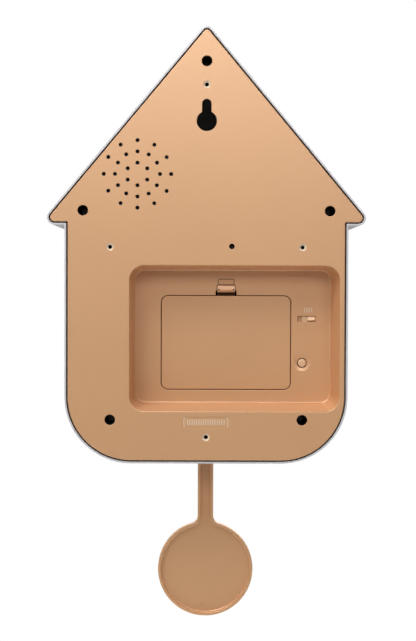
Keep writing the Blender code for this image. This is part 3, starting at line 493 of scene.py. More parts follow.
# Material name, colour and roughness, then whatever differs from the defaults of surface()
FINISHES = {
    "gold": (("champagne_gold_paint", (0.73, 0.405, 0.20), 0.33),
             dict(metallic=0.2, tint=0.02, grain=1600.0, bump=0.10, patch=14.0, specular=1.0)),
    # Paler gold for the slide knob and the push button, a painted highlight for the light their
    # tops catch.
    "pale_gold_highlight": (("gold_paint_highlight", (0.85, 0.56, 0.33), 0.30),
                  dict(metallic=0.2, grain=1600.0, bump=0.08, patch=60.0, specular=1.0)),
    "bright_gold": (("gold_trim", (0.76, 0.50, 0.27), 0.25),
                    dict(metallic=0.9, tint=0.03, grain=1200.0, bump=0.04, patch=30.0)),
    # A white moulding greyed down, a painted shade that darkens the shell, its rim and the bird's
    # door.
    "white": (("white_moulding", (0.62, 0.60, 0.62), 0.32),
              dict(tint=0.015, grain=700.0, bump=0.03, patch=10.0, coat=0.3,
                   coat_roughness=0.15)),
    "dial_white": (("dial_card", (0.83, 0.81, 0.77), 0.6),
                   dict(tint=0.02, grain=1500.0, bump=0.06, patch=25.0)),
    "black": (("black_moulding", (0.025, 0.025, 0.027), 0.5), dict(tint=0.10, bump=0.06)),
    "nylon": (("natural_nylon", (0.74, 0.70, 0.58), 0.45), dict(grain=800.0, bump=0.03)),
    "board": (("circuit_board", (0.02, 0.17, 0.07), 0.4),
              dict(tint=0.12, grain=400.0, bump=0.05, patch=120.0)),
    "steel": (("zinc_steel", (0.60, 0.60, 0.61), 0.32),
              dict(metallic=1.0, tint=0.05, grain=500.0, bump=0.03)),
    "dark_steel": (("black_oxide", (0.10, 0.09, 0.09), 0.4),
                   dict(metallic=1.0, tint=0.10, grain=500.0)),
    "copper": (("enamelled_copper", (0.62, 0.25, 0.10), 0.35),
               dict(metallic=1.0, tint=0.10, grain=1500.0, bump=0.30)),
    "brass": (("machined_brass", (0.78, 0.56, 0.24), 0.28), dict(metallic=1.0, tint=0.05)),
    # Black of the speaker cone, also laid on the disc behind the grille as painted shade.
    "paper": (("cone_paper", (0.03, 0.03, 0.032), 0.9), dict(tint=0.15, grain=1400.0, bump=0.35)),
    "ferrite": (("ferrite", (0.07, 0.07, 0.075), 0.6), dict(tint=0.12, grain=700.0, bump=0.12)),
    "cell": (("cell_sleeve", (0.035, 0.075, 0.13), 0.3),
             dict(metallic=0.3, tint=0.05, grain=600.0, coat=0.4)),
    "feathers": (("bird_white", (0.84, 0.82, 0.79), 0.45),
                 dict(tint=0.03, grain=1000.0, bump=0.05)),
    "eye": (("bird_eye", (0.01, 0.01, 0.01), 0.12), dict(tint=0.05, grain=1000.0, bump=0.0)),
    # Pale cream on the raised marks and the small countersinks, a painted highlight for the light
    # they catch.
    "pale_highlight": (("cream_highlight", (0.80, 0.64, 0.47), 0.5), dict(tint=0.02, grain=1200.0)),
    # Dark brown of the switch body, also laid as painted shade in narrow tray gaps and deep in the
    # latch.
    "dark_brown_and_shade": (("switch_plastic_and_gap_shade", (0.24, 0.12, 0.06), 0.55), dict(tint=0.05, bump=0.03)),
}

# Finish of each CAD material slot
NODE_FINISH = {
    "champagne_gold": "gold", "white_plastic": "white", "black_plastic": "black",
    "natural_nylon": "nylon", "board_green": "board", "zinc_steel": "steel",
    "dark_steel": "dark_steel", "copper_winding": "copper", "brass_gear": "brass",
    "speaker_paper": "paper", "ferrite": "ferrite", "cell_sleeve": "cell",
}


def make_materials():
    return {key: surface(*basics, **extras) for key, (basics, extras) in FINISHES.items()}


def finish_cad_nodes(finishes):
    """Every CAD node that stays gets the procedural finish of its slot."""
    for name, item in frame["nodes"].items():
        item.data.materials.clear()
        item.data.materials.append(finishes[NODE_FINISH[SLOT_OF[name]]])
    switch = frame["nodes"]["switch_body"]
    switch.data.materials.clear()
    switch.data.materials.append(finishes["dark_brown_and_shade"])


# ---------------------------------------------------------------- case

def make_shell(finish):
    """White walls with rounded front and rear edges, and a slot below for the pendulum."""
    front, step_y = SHELL_LOW[1], PANEL_FRONT_Y - PANEL_GAP
    corners = [(0.0, 0.0), (0.0, front), (FRONT_RIM, front), (FRONT_RIM, step_y), (WALL, step_y),
               (WALL, -LIP_DEPTH), (REAR_LIP, -LIP_DEPTH), (REAR_LIP, 0.0)]
    radii = [0.4, 1.5, 0.8, 0.1, 0.1, 0.1, 0.1, 0.15]
    steps = [4, 6, 4, 1, 1, 1, 1, 2]
    profile = round_corners([(-inset, y) for inset, y in corners], radii, steps)
    walls = loft([ring_at(house_outline(-grow), y) for grow, y in profile], closed=True)
    slot = loft([ring_at(rounded_box(PENDULUM_SLOT, steps=4), z, "Z")
                 for z in (BASE_Z - OVERRUN, BASE_Z + WALL + OVERRUN)])
    piece("white_shell", walls, finish, "root", "front_shell", cuts=[slot])


def make_front_panel(finish):
    """Front wall with its screw bosses, and the openings for the dial and the bird."""
    plate = loft([ring_at(house_outline(WALL + PANEL_GAP), y)
                  for y in (PANEL_FRONT_Y, PANEL_BACK_Y)])
    bosses = [cylinder(spot, BOSS_R, PANEL_BACK_Y - OVERRUN, SLEEVE_END_Y - BOSS_GAP, 24)
              for spot in CASE_SCREWS]
    cuts = [cylinder(spot, PILOT_R, PILOT_END_Y, SLEEVE_END_Y + OVERRUN, 16)
            for spot in CASE_SCREWS]
    cuts.append(through_hole(lambda grow: circle((0.0, DIAL_Z), DIAL_HOLE_R + grow, 96), 0.3))
    cuts.append(through_hole(lambda grow: rounded_box(DOORWAY, PANEL_GAP + grow), 0.3))
    piece("white_front", plate, finish, "root", "front_panel", adds=bosses, cuts=cuts)


def through_hole(outline, soften):
    """Cutter through the front panel whose front edge is rounded."""
    rings = [ring_at(outline(soften), PANEL_FRONT_Y - OVERRUN)]
    rings += [ring_at(outline(out), PANEL_FRONT_Y - along)
              for out, along in reversed(quarter(soften))]
    rings.append(ring_at(outline(0.0), PANEL_BACK_Y + OVERRUN))
    return loft(rings)


def tray_outline(depth, grow=0.0):
    """The tray's inner outline at a depth below the rear face."""
    share = depth / -TRAY_FLOOR_Y
    here = tuple(mouth + (floor - mouth) * share for mouth, floor in zip(TRAY_MOUTH, TRAY_FLOOR))
    return rounded_box(here, grow, 12)


def tray_cutter():
    """The hollow of the tray, rounded round its floor and at its mouth."""
    floor, low_round, high_round = -TRAY_FLOOR_Y, TRAY_FLOOR_ROUND, TRAY_MOUTH_ROUND
    rings = []
    for step in range(TRAY_ROUND_STEPS + 1):
        angle = math.pi / 2 * step / TRAY_ROUND_STEPS
        depth = floor - low_round * (1 - math.cos(angle))
        rings.append(ring_at(tray_outline(floor, -low_round * (1 - math.sin(angle))), -depth))
    for out, along in quarter(high_round, TRAY_ROUND_STEPS):
        rings.append(ring_at(tray_outline(-along, out), along))
    rings.append(ring_at(tray_outline(0.0, high_round), OVERRUN))
    return loft(rings)


def within(centre, area, grow=0.0):
    """Whether a point lies inside a box as seen from behind."""
    x_low, x_high, z_low, z_high = area[:4]
    return (x_low - grow < centre.x < x_high + grow
            and z_low - grow < centre.z < z_high + grow)


def make_cover(finish, second_finish, shade, countersink_highlight):
    """Rear cover with a rounded edge, the tray, and every hole with a softened mouth.

    Paint reaches only what faces the rear, so the deep holes, the edge and the inside show the
    unpainted black moulding, also a painted shade in the holes and the seam.  Narrow gaps in the
    tray floor get dark brown painted shade, the small countersinks a pale painted highlight.
    """
    plate = slab(lambda grow: house_outline(COVER_INSET - grow), COVER_Y - COVER_THICK, COVER_Y,
                 soften_high=COVER_EDGE_R)
    adds = [loft([ring_at(rounded_box(TRAY_MOUTH, TRAY_WALL), INSIDE_COVER_Y),
                  ring_at(rounded_box(TRAY_FLOOR, TRAY_WALL), TRAY_BACK_Y)])]
    adds += [cylinder(spot, SLEEVE_R, SLEEVE_END_Y, INSIDE_COVER_Y, 32) for spot in CASE_SCREWS]
    adds.append(cylinder(FRAME_SCREW, FRAME_SLEEVE_R, FRAME_SLEEVE_END_Y, INSIDE_COVER_Y, 24))
    rim = [(SPEAKER_RIM_IN, SPEAKER_RIM_END_Y), (SPEAKER_RIM_IN, INSIDE_COVER_Y),
           (SPEAKER_RIM_OUT, INSIDE_COVER_Y), (SPEAKER_RIM_OUT, SPEAKER_RIM_END_Y)]
    adds.append(turned(rim, SPEAKER, steps=64))
    cover = piece("gold_cover", plate, finish, "root", "rear_cover", adds=adds,
                  cuts=cover_cuts() + tray_floor_cuts())
    behind_tray_y, paint_end_y = TRAY_BACK_Y + 0.1, -0.75
    slot_area = (SWITCH_SLOT[0] - 0.3, SWITCH_SLOT[1] + 0.3, *SWITCH_SLOT[2:])

    def hidden(centre):
        return centre.y < (behind_tray_y if within(centre, TRAY_MOUTH) else paint_end_y)

    def gap_shade(centre):
        """Narrow gaps in the tray floor, darkened brown as painted shade."""
        depth = TRAY_FLOOR_Y - centre.y
        seam = within(centre, DOOR_BOX, 1.0)
        latch = abs(centre.x - LATCH_X) < 6.6 and DOOR_BOX[3] < centre.z < -115.0
        button = math.hypot(centre.x - BUTTON[0], centre.z - BUTTON[1]) < 3.3
        slot = within(centre, slot_area)
        gap = depth > 0.4 and (seam or latch) or depth > 0.9 and (button or slot)
        return centre.y > behind_tray_y and gap

    def countersunk(centre):
        return -0.95 < centre.y < -0.03 and any(
            math.hypot(centre.x - x, centre.z - z) < COUNTERSINK_R for x, z in SMALL_HOLES)

    # Deep faces take the black moulding, which also darkens the holes and the seam as painted
    # shade.
    unpaint(cover, second_finish, hidden)
    # Narrow gaps in the tray floor take dark brown as painted shade.
    unpaint(cover, shade, gap_shade)
    # The small countersinks take a pale cream as painted highlight, for the lamp glinting in their
    # slopes.
    unpaint(cover, countersink_highlight, countersunk)


def cover_cuts():
    """Tray, keyhole, sunk panel, screw holes and speaker grille."""
    cuts = [tray_cutter(), opening(keyhole_outline, THROUGH_COVER_Y, COVER_Y, 0.25),
            opening(lambda grow: rounded_box(MARK_PANEL, grow, 4), -MARK_DEPTH, COVER_Y, 0.12)]
    for spot in CASE_SCREWS:
        cuts.append(round_opening(spot, SCREW_HOLE_R, SCREW_SEAT_Y, 0.3, 40))
        cuts.append(cylinder(spot, PILOT_R, SLEEVE_END_Y - OVERRUN, SCREW_SEAT_Y + 0.5, 16))
    cuts += [turned(COUNTERSINK, spot, steps=32) for spot in SMALL_HOLES]
    cuts.append(round_opening(FRAME_SCREW, FRAME_SCREW_HOLE_R, FRAME_SCREW_SEAT_Y, 0.2, 24))
    for ring_r, count in GRILLE_RINGS:
        cuts += [round_opening(centre, GRILLE_HOLE_R, THROUGH_COVER_Y, 0.18, 16, 2)
                 for centre in circle(SPEAKER, ring_r, count, phase=math.pi / 2)]
    return cuts


def tray_floor_cuts():
    """Room for the battery door, the cells, the latch, the slide switch and the button."""
    floor, under = TRAY_FLOOR_Y, TRAY_BACK_Y - OVERRUN
    button_dish = [(0.0, under), (3.1, under), (3.1, floor - 0.7), (3.25, floor - 0.5),
                   (3.8, floor - 0.38), (4.5, floor - 0.22), (5.2, floor - 0.06),
                   (5.9, floor + 0.03), (6.3, floor + 0.4), (0.0, floor + 0.4)]
    groove = [(0.0, floor + OVERRUN), (0.45, floor + OVERRUN),
              (0.45, floor - LIP_SEAT_DEPTH), (0.0, floor - LIP_SEAT_DEPTH)]
    cuts = [opening(lambda grow: rounded_box(DOOR_BOX, DOOR_SEAM + grow),
                    floor - DOOR_THICK - DOOR_ROOM, floor, 0.35),
            loft([ring_at(rounded_box(CELL_ROOM), y) for y in (under, floor - 1.0)]),
            opening(lambda grow: rounded_box(LATCH_SLOT, grow, 3), under, floor, 0.2),
            loft([ring_at(rounded_box(LATCH_FRAME, grow, 3), y) for grow, y in groove],
                 closed=True),
            opening(lambda grow: rounded_box(LIP_SEAT, grow, 4), floor - LIP_SEAT_DEPTH, floor,
                    0.1),
            opening(lambda grow: rounded_box(SWITCH_SLOT, grow, 3), under, floor, 0.25),
            box(*SLIDE_ROOM[:2], under, SLIDE_ROOM_Y, *SLIDE_ROOM[2:]),
            turned(button_dish, BUTTON)]
    return cuts + [cylinder(spot, 0.6, under, floor, 16) for spot in LIP_HOLES]


def make_mark_bars(finish):
    """Plain upright bars in the sunk panel, between two end brackets."""
    x_low, x_high, z_low, z_high = MARK_PANEL[:4]
    deep, top = -MARK_DEPTH - 0.1, -MARK_DEPTH + 0.12
    count, margin, half = 17, 3.2, 0.28
    step = (x_high - x_low - 2 * margin) / (count - 1)
    bars = []
    for number in range(count):
        x = x_low + margin + step * number
        bars.append(box(x - half, x + half, deep, top, z_low + 1.6, z_high - 1.6))
    strokes = ((0.0, 0.5, z_low + 0.7, z_high - 0.7), (0.4, 1.1, z_low + 0.7, z_low + 1.2),
               (0.4, 1.1, z_high - 1.2, z_high - 0.7))
    for edge, inward in ((x_low + 0.7, 1), (x_high - 0.7, -1)):
        for x_a, x_b, z_a, z_b in strokes:
            low, high = sorted((edge + inward * x_a, edge + inward * x_b))
            bars.append(box(low, high, deep, top, z_a, z_b))
    piece("mark_bars", bars[0], finish, "root", adds=bars[1:])


def make_tray_marks(finish):
    """Four raised ticks over the slide switch and a pointer beside the push button."""
    root = TRAY_FLOOR_Y - 0.2
    ticks = [box(x - 0.3, x + 0.3, root, TRAY_FLOOR_Y + 0.35, -137.2, -133.8)
             for x in (-63.7, -65.2, -66.7, -68.2)]
    pointer = prism([(-66.0, -171.0), (-67.4, -171.8), (-67.4, -170.2)], root, TRAY_FLOOR_Y + 0.3)
    piece("tray_marks", ticks[0], finish, "root", adds=ticks[1:] + [pointer], bevel=0.12)


# ---------------------------------------------------------------- tray pieces

def make_battery_door(finish):
    """Flat lid with three ribs inside."""
    back = TRAY_FLOOR_Y - DOOR_THICK
    panel = slab(lambda grow: rounded_box(DOOR_BOX, grow), back, TRAY_FLOOR_Y, soften_high=0.4)
    ribs = [box(x - 0.6, x + 0.6, back - 0.9, back + 0.3, -180.0, -134.0)
            for x in (-40.0, -12.9, 14.0)]
    piece("battery_lid", panel, finish, "battery_door", "battery_door", adds=ribs)


def make_battery_latch(finish, second_finish):
    """U-shaped spring tongue with a sloped lip whose lower edge catches the light."""
    (inner, outer), thick, bend = (-127.4, -123.4), 0.9, -125.4
    # (y, z) of each corner, with its radius
    section = [(-27.0, inner, 0.1), (-30.6, inner, 0.3), (-31.7, inner + 0.5, 0.3),
               (-32.0, bend, 0.5), (-31.7, outer - 0.5, 0.3), (-30.6, outer, 0.3),
               (-25.2, outer, 0.2), (-24.6, outer + 0.3, 0.15), (-24.6, outer + 3.5, 0.12),
               (-24.2, outer + 3.5, 0.12), (-23.5, outer + 0.8, 0.4), (-23.7, outer + 0.3, 0.2),
               (-25.4, outer - thick, 0.3), (-30.5, outer - thick, 0.3), (-31.1, bend, 0.5),
               (-30.5, inner + thick, 0.3), (-27.0, inner + thick, 0.1)]
    profile = round_corners([(y, z) for y, z, _ in section], [radius for _, _, radius in section],
                            [4] * len(section))
    tongue = prism(profile, LATCH_LOW[0], LATCH_HIGH[0], "X")
    holes = [cylinder(spot, 0.5, -26.0, -22.0, 12) for spot in LIP_HOLES]
    latch = piece("latch_tongue", tongue, finish, "battery_latch", "battery_latch", cuts=holes,
                  bevel=0.15, sharp=40.0)
    # Faces deep in the latch opening take dark brown as painted shade.
    unpaint(latch, second_finish, lambda centre: centre.y < -26.0)


def make_controls(finishes):
    """Slide knob on a wide plate that keeps its slot shut, and the push button."""
    top = span("switch_knob")[1][1]
    x_low, x_high, z_low, z_high = KNOB_BOX[:4]
    under = SLIDE_ROOM_Y - 0.15
    corners = [(under - 0.6, z_low), (top - 0.7, z_low), (top, z_low + 0.7), (top - 0.6, z_high),
               (under - 0.6, z_high)]
    profile = round_corners(corners, [0.1, 0.3, 0.4, 0.3, 0.1], [4] * 5)
    knob = prism(profile, x_low, x_high, "X")
    plate = box(SLIDE_ROOM[0] + 0.4, x_high + 3.7, under - 0.65, under, z_low - 1.4, z_high + 1.4)
    stem = box(x_low + 0.2, x_low + 1.8, -29.0, under - 0.3, z_low + 0.3, z_high - 0.3)
    foot = box(x_low - 0.4, x_high + 0.4, -29.8, -28.5, z_low - 1.4, z_high + 1.4)
    # The knob and the button take the paler gold as painted highlight.
    piece("slide_knob", knob, finishes["pale_gold_highlight"], "switch_knob", "switch_knob",
          adds=[foot, stem, plate], bevel=0.12, sharp=40.0)
    liner = box(x_high + 3.3, SLIDE_ROOM[1] - 0.4, -27.9, under - 0.85, z_low - 1.6, z_high + 1.6)
    piece("slot_liner", liner, finishes["gold"], "root", bevel=0.1)
    profile = soft_profile([(0.0, -24.0), (2.6, -24.0), (2.6, -28.5), (4.2, -28.5), (4.2, -29.5),
                            (1.2, -29.5), (1.2, -31.0), (0.0, -31.0)], 0.45)
    piece("push_button", turned(profile, BUTTON), finishes["pale_gold_highlight"], "set_button",
          "set_button")


def make_grille_shade_disc(finish):
    """Thin black disc between the grille and the speaker, a sheet of painted shade that keeps the
    holes black.
    """
    profile = soft_profile([(0.0, -2.35), (23.2, -2.35), (23.2, -2.85), (0.0, -2.85)], 0.15)
    piece("grille_shade_disc", turned(profile, SPEAKER, steps=64), finish, "root")


# ---------------------------------------------------------------- cells

def make_cells(finishes):
    """Plain sleeves with steel ends and a gold band round each."""
    for number in (1, 2, 3):
        name = f"battery_{number}"
        low, high = span(name)
        centre = ((low[0] + high[0]) / 2, (low[1] + high[1]) / 2)
        radius, length = (high[0] - low[0]) / 2, high[2] - low[2]
        up = number != 2

        def along(distance):
            return low[2] + distance if up else high[2] - distance

        sleeve = [(0.0, 0.6), (radius - 1.2, 0.6), (radius, 1.4), (radius, length - 3.0),
                  (radius - 1.2, length - 2.2), (0.0, length - 2.2)]
        ends = [(0.0, 0.0), (radius - 2.4, 0.0), (radius - 1.8, 0.7),
                (radius - 1.8, length - 1.9), (3.3, length - 1.5), (3.3, length - 0.2),
                (2.9, length), (0.0, length)]
        solid = turned(soft_profile([(r, along(d)) for r, d in sleeve], 0.5), centre, "Z")
        piece(f"cell_sleeve_{number}", solid, finishes["cell"], "root", name)
        tip = turned(soft_profile([(r, along(d)) for r, d in ends], 0.25), centre, "Z", 40)
        piece(f"cell_ends_{number}", tip, finishes["steel"], "root")
        inside, outside = radius - 0.3, radius + 0.05
        low_end, high_end = length - 14.0, length - 3.1
        band = [(inside, low_end), (outside, low_end), (outside, high_end), (inside, high_end)]
        cuff = turned([(r, along(d)) for r, d in band], centre, "Z")
        piece(f"cell_band_{number}", cuff, finishes["bright_gold"], "root")


# ---------------------------------------------------------------- pendulum

def make_pendulum(finish):
    """Rod and bob, hollow behind, with an eye at the top and the mark of the mould's gate."""
    front, back = PENDULUM_LOW[1], PENDULUM_HIGH[1]
    floor, lip = back - HOLLOW_DEPTH, 0.35
    body = slab(lambda grow: pendulum_outline(-grow), front, back, 1.2, 0.5)
    rings = [ring_at(pendulum_outline(PENDULUM_RIM + out, HOLLOW_TOP_Z), floor + along)
             for out, along in ((0.9, 0.0), (0.45, 0.12), (0.12, 0.45), (0.0, 0.9))]
    rings += [ring_at(pendulum_outline(PENDULUM_RIM - out, HOLLOW_TOP_Z), back + along)
              for out, along in quarter(lip)]
    rings.append(ring_at(pendulum_outline(PENDULUM_RIM - lip, HOLLOW_TOP_Z), back + OVERRUN))
    eye = loft([ring_at(circle(PENDULUM_EYE, PENDULUM_EYE_R, 24), y)
                for y in (front - OVERRUN, back + OVERRUN)])
    gate = turned([(1.0, floor - 0.25), (1.0, back), (1.35, back), (1.35, floor - 0.25)],
                  (2.0, BOB_Z - 24.0), steps=24)
    piece("pendulum_moulding", body, finish, "pendulum_arm", "pendulum",
          cuts=[loft(rings), eye, gate])


# ---------------------------------------------------------------- dial and hands

def make_dial(finishes):
    """Card with a sunk chapter ring, gold hour bars and small minute studs."""
    low, high = span("dial")
    centre = (0.0, DIAL_Z)
    back, sunk_y, step_y = high[1], DIAL_FRONT_Y + 0.3, -76.5
    mark_root = DIAL_FRONT_Y + 0.5
    edge_r, bore_r = DIAL_HOLE_R - 0.3, 4.4
    card = soft_profile([(bore_r, DIAL_FRONT_Y), (40.0, DIAL_FRONT_Y), (40.4, sunk_y),
                         (52.6, sunk_y), (53.0, DIAL_FRONT_Y), (edge_r, DIAL_FRONT_Y),
                         (edge_r, step_y), (high[0], step_y), (high[0], back), (bore_r, back)],
                        0.1)
    piece("dial_card", turned(card, centre, steps=128), finishes["dial_white"], "root", "dial")
    marks = []
    for minute in range(60):
        angle = minute * math.pi / 30
        along = Vector((math.sin(angle), math.cos(angle)))
        if minute % 5:
            spot = Vector(centre) + along * 49.8
            marks.append(turned([(0.0, low[1] + 0.1), (0.35, low[1] + 0.15), (0.45, mark_root),
                                 (0.0, mark_root)], tuple(spot), steps=10))
            continue
        half, inner = (1.1, 43.0) if minute % 15 == 0 else (0.6, 46.0)
        side = Vector((along.y, -along.x)) * half
        corners = [Vector(centre) + along * radius + side * sign
                   for radius, sign in ((inner, -1), (51.0, -1), (51.0, 1), (inner, 1))]
        marks.append(prism([tuple(corner) for corner in corners], low[1], mark_root))
    piece("hour_marks", marks[0], finishes["bright_gold"], "root", adds=marks[1:], bevel=0.12)
    ring = soft_profile([(54.6, -77.2), (55.7, -77.2), (55.7, -79.3), (58.0, -79.3),
                         (57.5, -80.9), (56.4, -81.2), (54.6, -81.2)], 0.35)
    piece("dial_bezel", turned(ring, centre, steps=128), finishes["bright_gold"], "root",
          "dial_ring")


def hand_outline(angle, length, tail, wide, hub_r):
    """Straight tapered hand with a round hub; angle is clockwise from twelve."""
    along = Vector((math.sin(angle), math.cos(angle)))
    side = Vector((along.y, -along.x))
    centre = Vector((0.0, DIAL_Z))
    start = math.asin(wide / hub_r)
    tip = centre + along * length
    points = [tip - side * (wide * 0.5), tip + side * (wide * 0.5)]
    for turn in (0.0, math.pi):
        for step in range(17):
            bearing = turn + start + (math.pi - 2 * start) * step / 16
            points.append(centre + along * (hub_r * math.cos(bearing))
                          + side * (hub_r * math.sin(bearing)))
        if not turn:
            points += [centre - along * tail + side * wide, centre - along * tail - side * wide]
    return [tuple(point) for point in points]


def make_hands(finishes):
    """Both hands, set at ten past ten as seen from the front, and the cap over them."""
    centre = (0.0, DIAL_Z)
    # Name, body, angle, (length, tail, half width, hub radius) and bore
    for name, body, angle, sizes, bore in (
            ("hour_hand", "hour", 305.0, (30.0, 8.0, 1.6, 4.4), 2.9),
            ("minute_hand", "minute", 60.0, (44.0, 11.0, 1.3, 3.6), 1.6)):
        low, high = span(name)
        blade = prism(hand_outline(math.radians(angle), *sizes), low[1], high[1])
        hole = cylinder(centre, bore, low[1] - OVERRUN, high[1] + OVERRUN, 32)
        piece(f"{name}_blade", blade, finishes["bright_gold"], body, name, cuts=[hole],
              bevel=0.18)
    nut = soft_profile([(1.6, -81.1), (3.0, -81.1), (3.0, -81.7), (2.4, -82.0), (1.6, -82.0)], 0.2)
    piece("hand_cap", turned(nut, centre), finishes["bright_gold"], "minute", "hand_nut")


# ---------------------------------------------------------------- bird and its door

def ball(centre, radii, tilt=0.0):
    mesh = bmesh.new()
    bmesh.ops.create_icosphere(mesh, subdivisions=4, radius=1.0)
    turn = Quaternion((1.0, 0.0, 0.0), tilt)
    for vert in mesh.verts:
        stretched = Vector([length * part for length, part in zip(radii, vert.co)])
        vert.co = Vector(centre) + turn @ stretched
    return mesh


def make_bird(finishes):
    """Small round bird, its shapes melted together, with folded wings and bead eyes."""
    body = ball((0.0, -46.0, -49.5), (8.4, 13.8, 8.4))
    neck = ball((0.0, -52.5, -43.5), (6.4, 6.4, 7.0))
    head = ball((0.0, -56.5, -39.0), (6.7, 6.7, 6.7))
    tail = prism([(-38.0, -49.0), (-24.2, -44.5), (-24.2, -42.5), (-38.0, -44.5)], -3.8, 3.8, "X")
    leg = turned([(0.0, -59.4), (2.0, -59.4), (1.7, -52.0), (0.0, -52.0)], (0.0, -47.0), "Z", 24)
    wings = [ball((side * 7.1, -42.5, -48.0), (1.6, 9.5, 5.2), math.radians(-14.0))
             for side in (-1, 1)]
    item = raw_object("small_bird", body)
    carve(item, [neck, head, tail, leg] + wings, "UNION")
    blend = item.modifiers.new("Blend", "REMESH")
    blend.mode = "VOXEL"
    blend.voxel_size = 0.45 * MM
    relax = item.modifiers.new("Relax", "SMOOTH")
    relax.iterations = 6
    apply_modifiers(item)
    item.data.shade_smooth()
    item.data.materials.append(finishes["feathers"])
    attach(item, "bird")
    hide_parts("bird")
    for side in (-1, 1):
        eye = ball((side * 4.6, -60.2, -37.2), (1.0, 1.0, 1.0))
        name = f"bird_eye_{'left' if side < 0 else 'right'}"
        piece(name, eye, finishes["eye"], "bird")
    low, high = span("bird_beak")
    root = high[1] + 0.4
    beak = soft_profile([(0.0, low[1]), (0.5, low[1] + 0.5), (2.0, root), (0.0, root)], 0.3)
    piece("beak", turned(beak, (0.0, -39.5), steps=32), finishes["bright_gold"], "bird",
          "bird_beak")


def make_bird_door(finishes):
    """Panelled door on a pin, with a small gold knob."""
    x_low, x_high, z_low, z_high = SHUTTER[:4]
    front = SHUTTER_FRONT_Y
    leaf = slab(lambda grow: rounded_box(SHUTTER, grow, 3), front, SHUTTER_BACK_Y, 0.3, 0.2)
    barrel = cylinder(HINGE, 1.3, z_low, z_high, 32, "Z")
    bore = cylinder(HINGE, PIN_R, z_low - OVERRUN, z_high + OVERRUN, 24, "Z")
    field = (x_low + 4.5, x_high - 5.5, z_low + 4.5, z_high - 4.5, 1.0)
    groove_section = ((1.3, front - 0.3), (0.9, front + 0.45), (0.4, front + 0.45),
                      (0.0, front - 0.3))
    groove = loft([ring_at(rounded_box(field, grow, 5), y) for grow, y in groove_section],
                  closed=True)
    piece("bird_shutter", leaf, finishes["white"], "bird_door", "bird_door", adds=[barrel],
          cuts=[groove, bore])
    knob = soft_profile([(0.0, -82.0), (1.2, -82.0), (1.5, -81.5), (0.8, front + 0.2),
                         (0.0, front + 0.2)], 0.25)
    piece("shutter_knob", turned(knob, (-18.2, -42.0), steps=24), finishes["bright_gold"],
          "bird_door")


def make_door_frame(finishes):
    """Gold frame lined with a short tube, drilled for the door's pin."""
    front, soften = span("bird_door_frame")[0][1], 0.4
    flange = slab(lambda grow: rounded_box(DOORWAY, 1.4 + grow, 5), front,
                  PANEL_FRONT_Y - PANEL_GAP, soften_low=0.6)
    tube = loft([ring_at(rounded_box(DOORWAY, steps=5), y)
                 for y in (PANEL_FRONT_Y - OVERRUN, PANEL_BACK_Y)])
    rings = [ring_at(rounded_box(DOOR_OPENING, soften, 5), front - OVERRUN)]
    rings += [ring_at(rounded_box(DOOR_OPENING, out, 5), front - along)
              for out, along in reversed(quarter(soften))]
    rings.append(ring_at(rounded_box(DOOR_OPENING, steps=5), PANEL_BACK_Y + OVERRUN))
    pin_hole = cylinder(HINGE, PIN_R, -65.8, -18.2, 16, "Z")
    piece("doorway_frame", flange, finishes["bright_gold"], "root", "bird_door_frame",
          adds=[tube], cuts=[loft(rings), pin_hole])


# ---------------------------------------------------------------- studio

CLOCK_MIDDLE = (0.0, 0.0, -0.10)
# Name, place, what it is aimed at and size, all in metres, then the power in watts
LAMPS = [
    ("key", (0.42, 0.62, 0.80), CLOCK_MIDDLE, (0.5, 0.5), 6.4),
    ("near_top", (0.10, 0.42, 0.42), (0.0, 0.0, 0.0), (0.35, 0.35), 0.5),
    ("back_panel", (0.0, 1.35, 0.42), CLOCK_MIDDLE, (1.4, 0.4), 6.2),
    ("left", (0.95, 0.55, 0.0), CLOCK_MIDDLE, (0.6, 0.6), 0.7),
    ("front_key", (-0.8, -1.1, 0.7), CLOCK_MIDDLE, (1.0, 1.0), 24.0),
    ("under_front", (0.0, -0.45, -0.75), (0.0, -0.04, -0.08), (0.8, 0.5), 2.5),
    ("floor_wash", (0.0, -0.9, -0.15), (0.0, -0.9, -0.9), (2.2, 1.2), 9.0),
    ("front_fill", (1.1, -1.0, 0.0), CLOCK_MIDDLE, (1.0, 1.2), 11.0),
]
AMBIENT_STRENGTH = 0.36
AMBIENT_BELOW, AMBIENT_ABOVE = (0.24, 0.22, 0.20, 1.0), (0.80, 0.80, 0.80, 1.0)
FLOOR_HALF_WIDTH, FLOOR_FRONT_Y, FLOOR_BACK_Y, FLOOR_Z = 1.7, -1.1, 2.0, -0.9
SENSOR_WIDTH, LENS = 36.0, 76.72
CAMERA_PLACE = (0.0029, 0.8571, -0.1221)
CAMERA_YAW, CAMERA_PITCH, CAMERA_ROLL = -0.0047, -0.0231, 0.0032


def make_light(name, place, target, size, power):
    lamp = bpy.data.lights.new(name, "AREA")
    lamp.shape = "RECTANGLE"
    lamp.size, lamp.size_y = size
    lamp.energy = power
    item = bpy.data.objects.new(name, lamp)
    item.location = place
    item.rotation_mode = "QUATERNION"
    item.rotation_quaternion = (Vector(target) - Vector(place)).to_track_quat("-Z", "Y")
    bpy.context.scene.collection.objects.link(item)


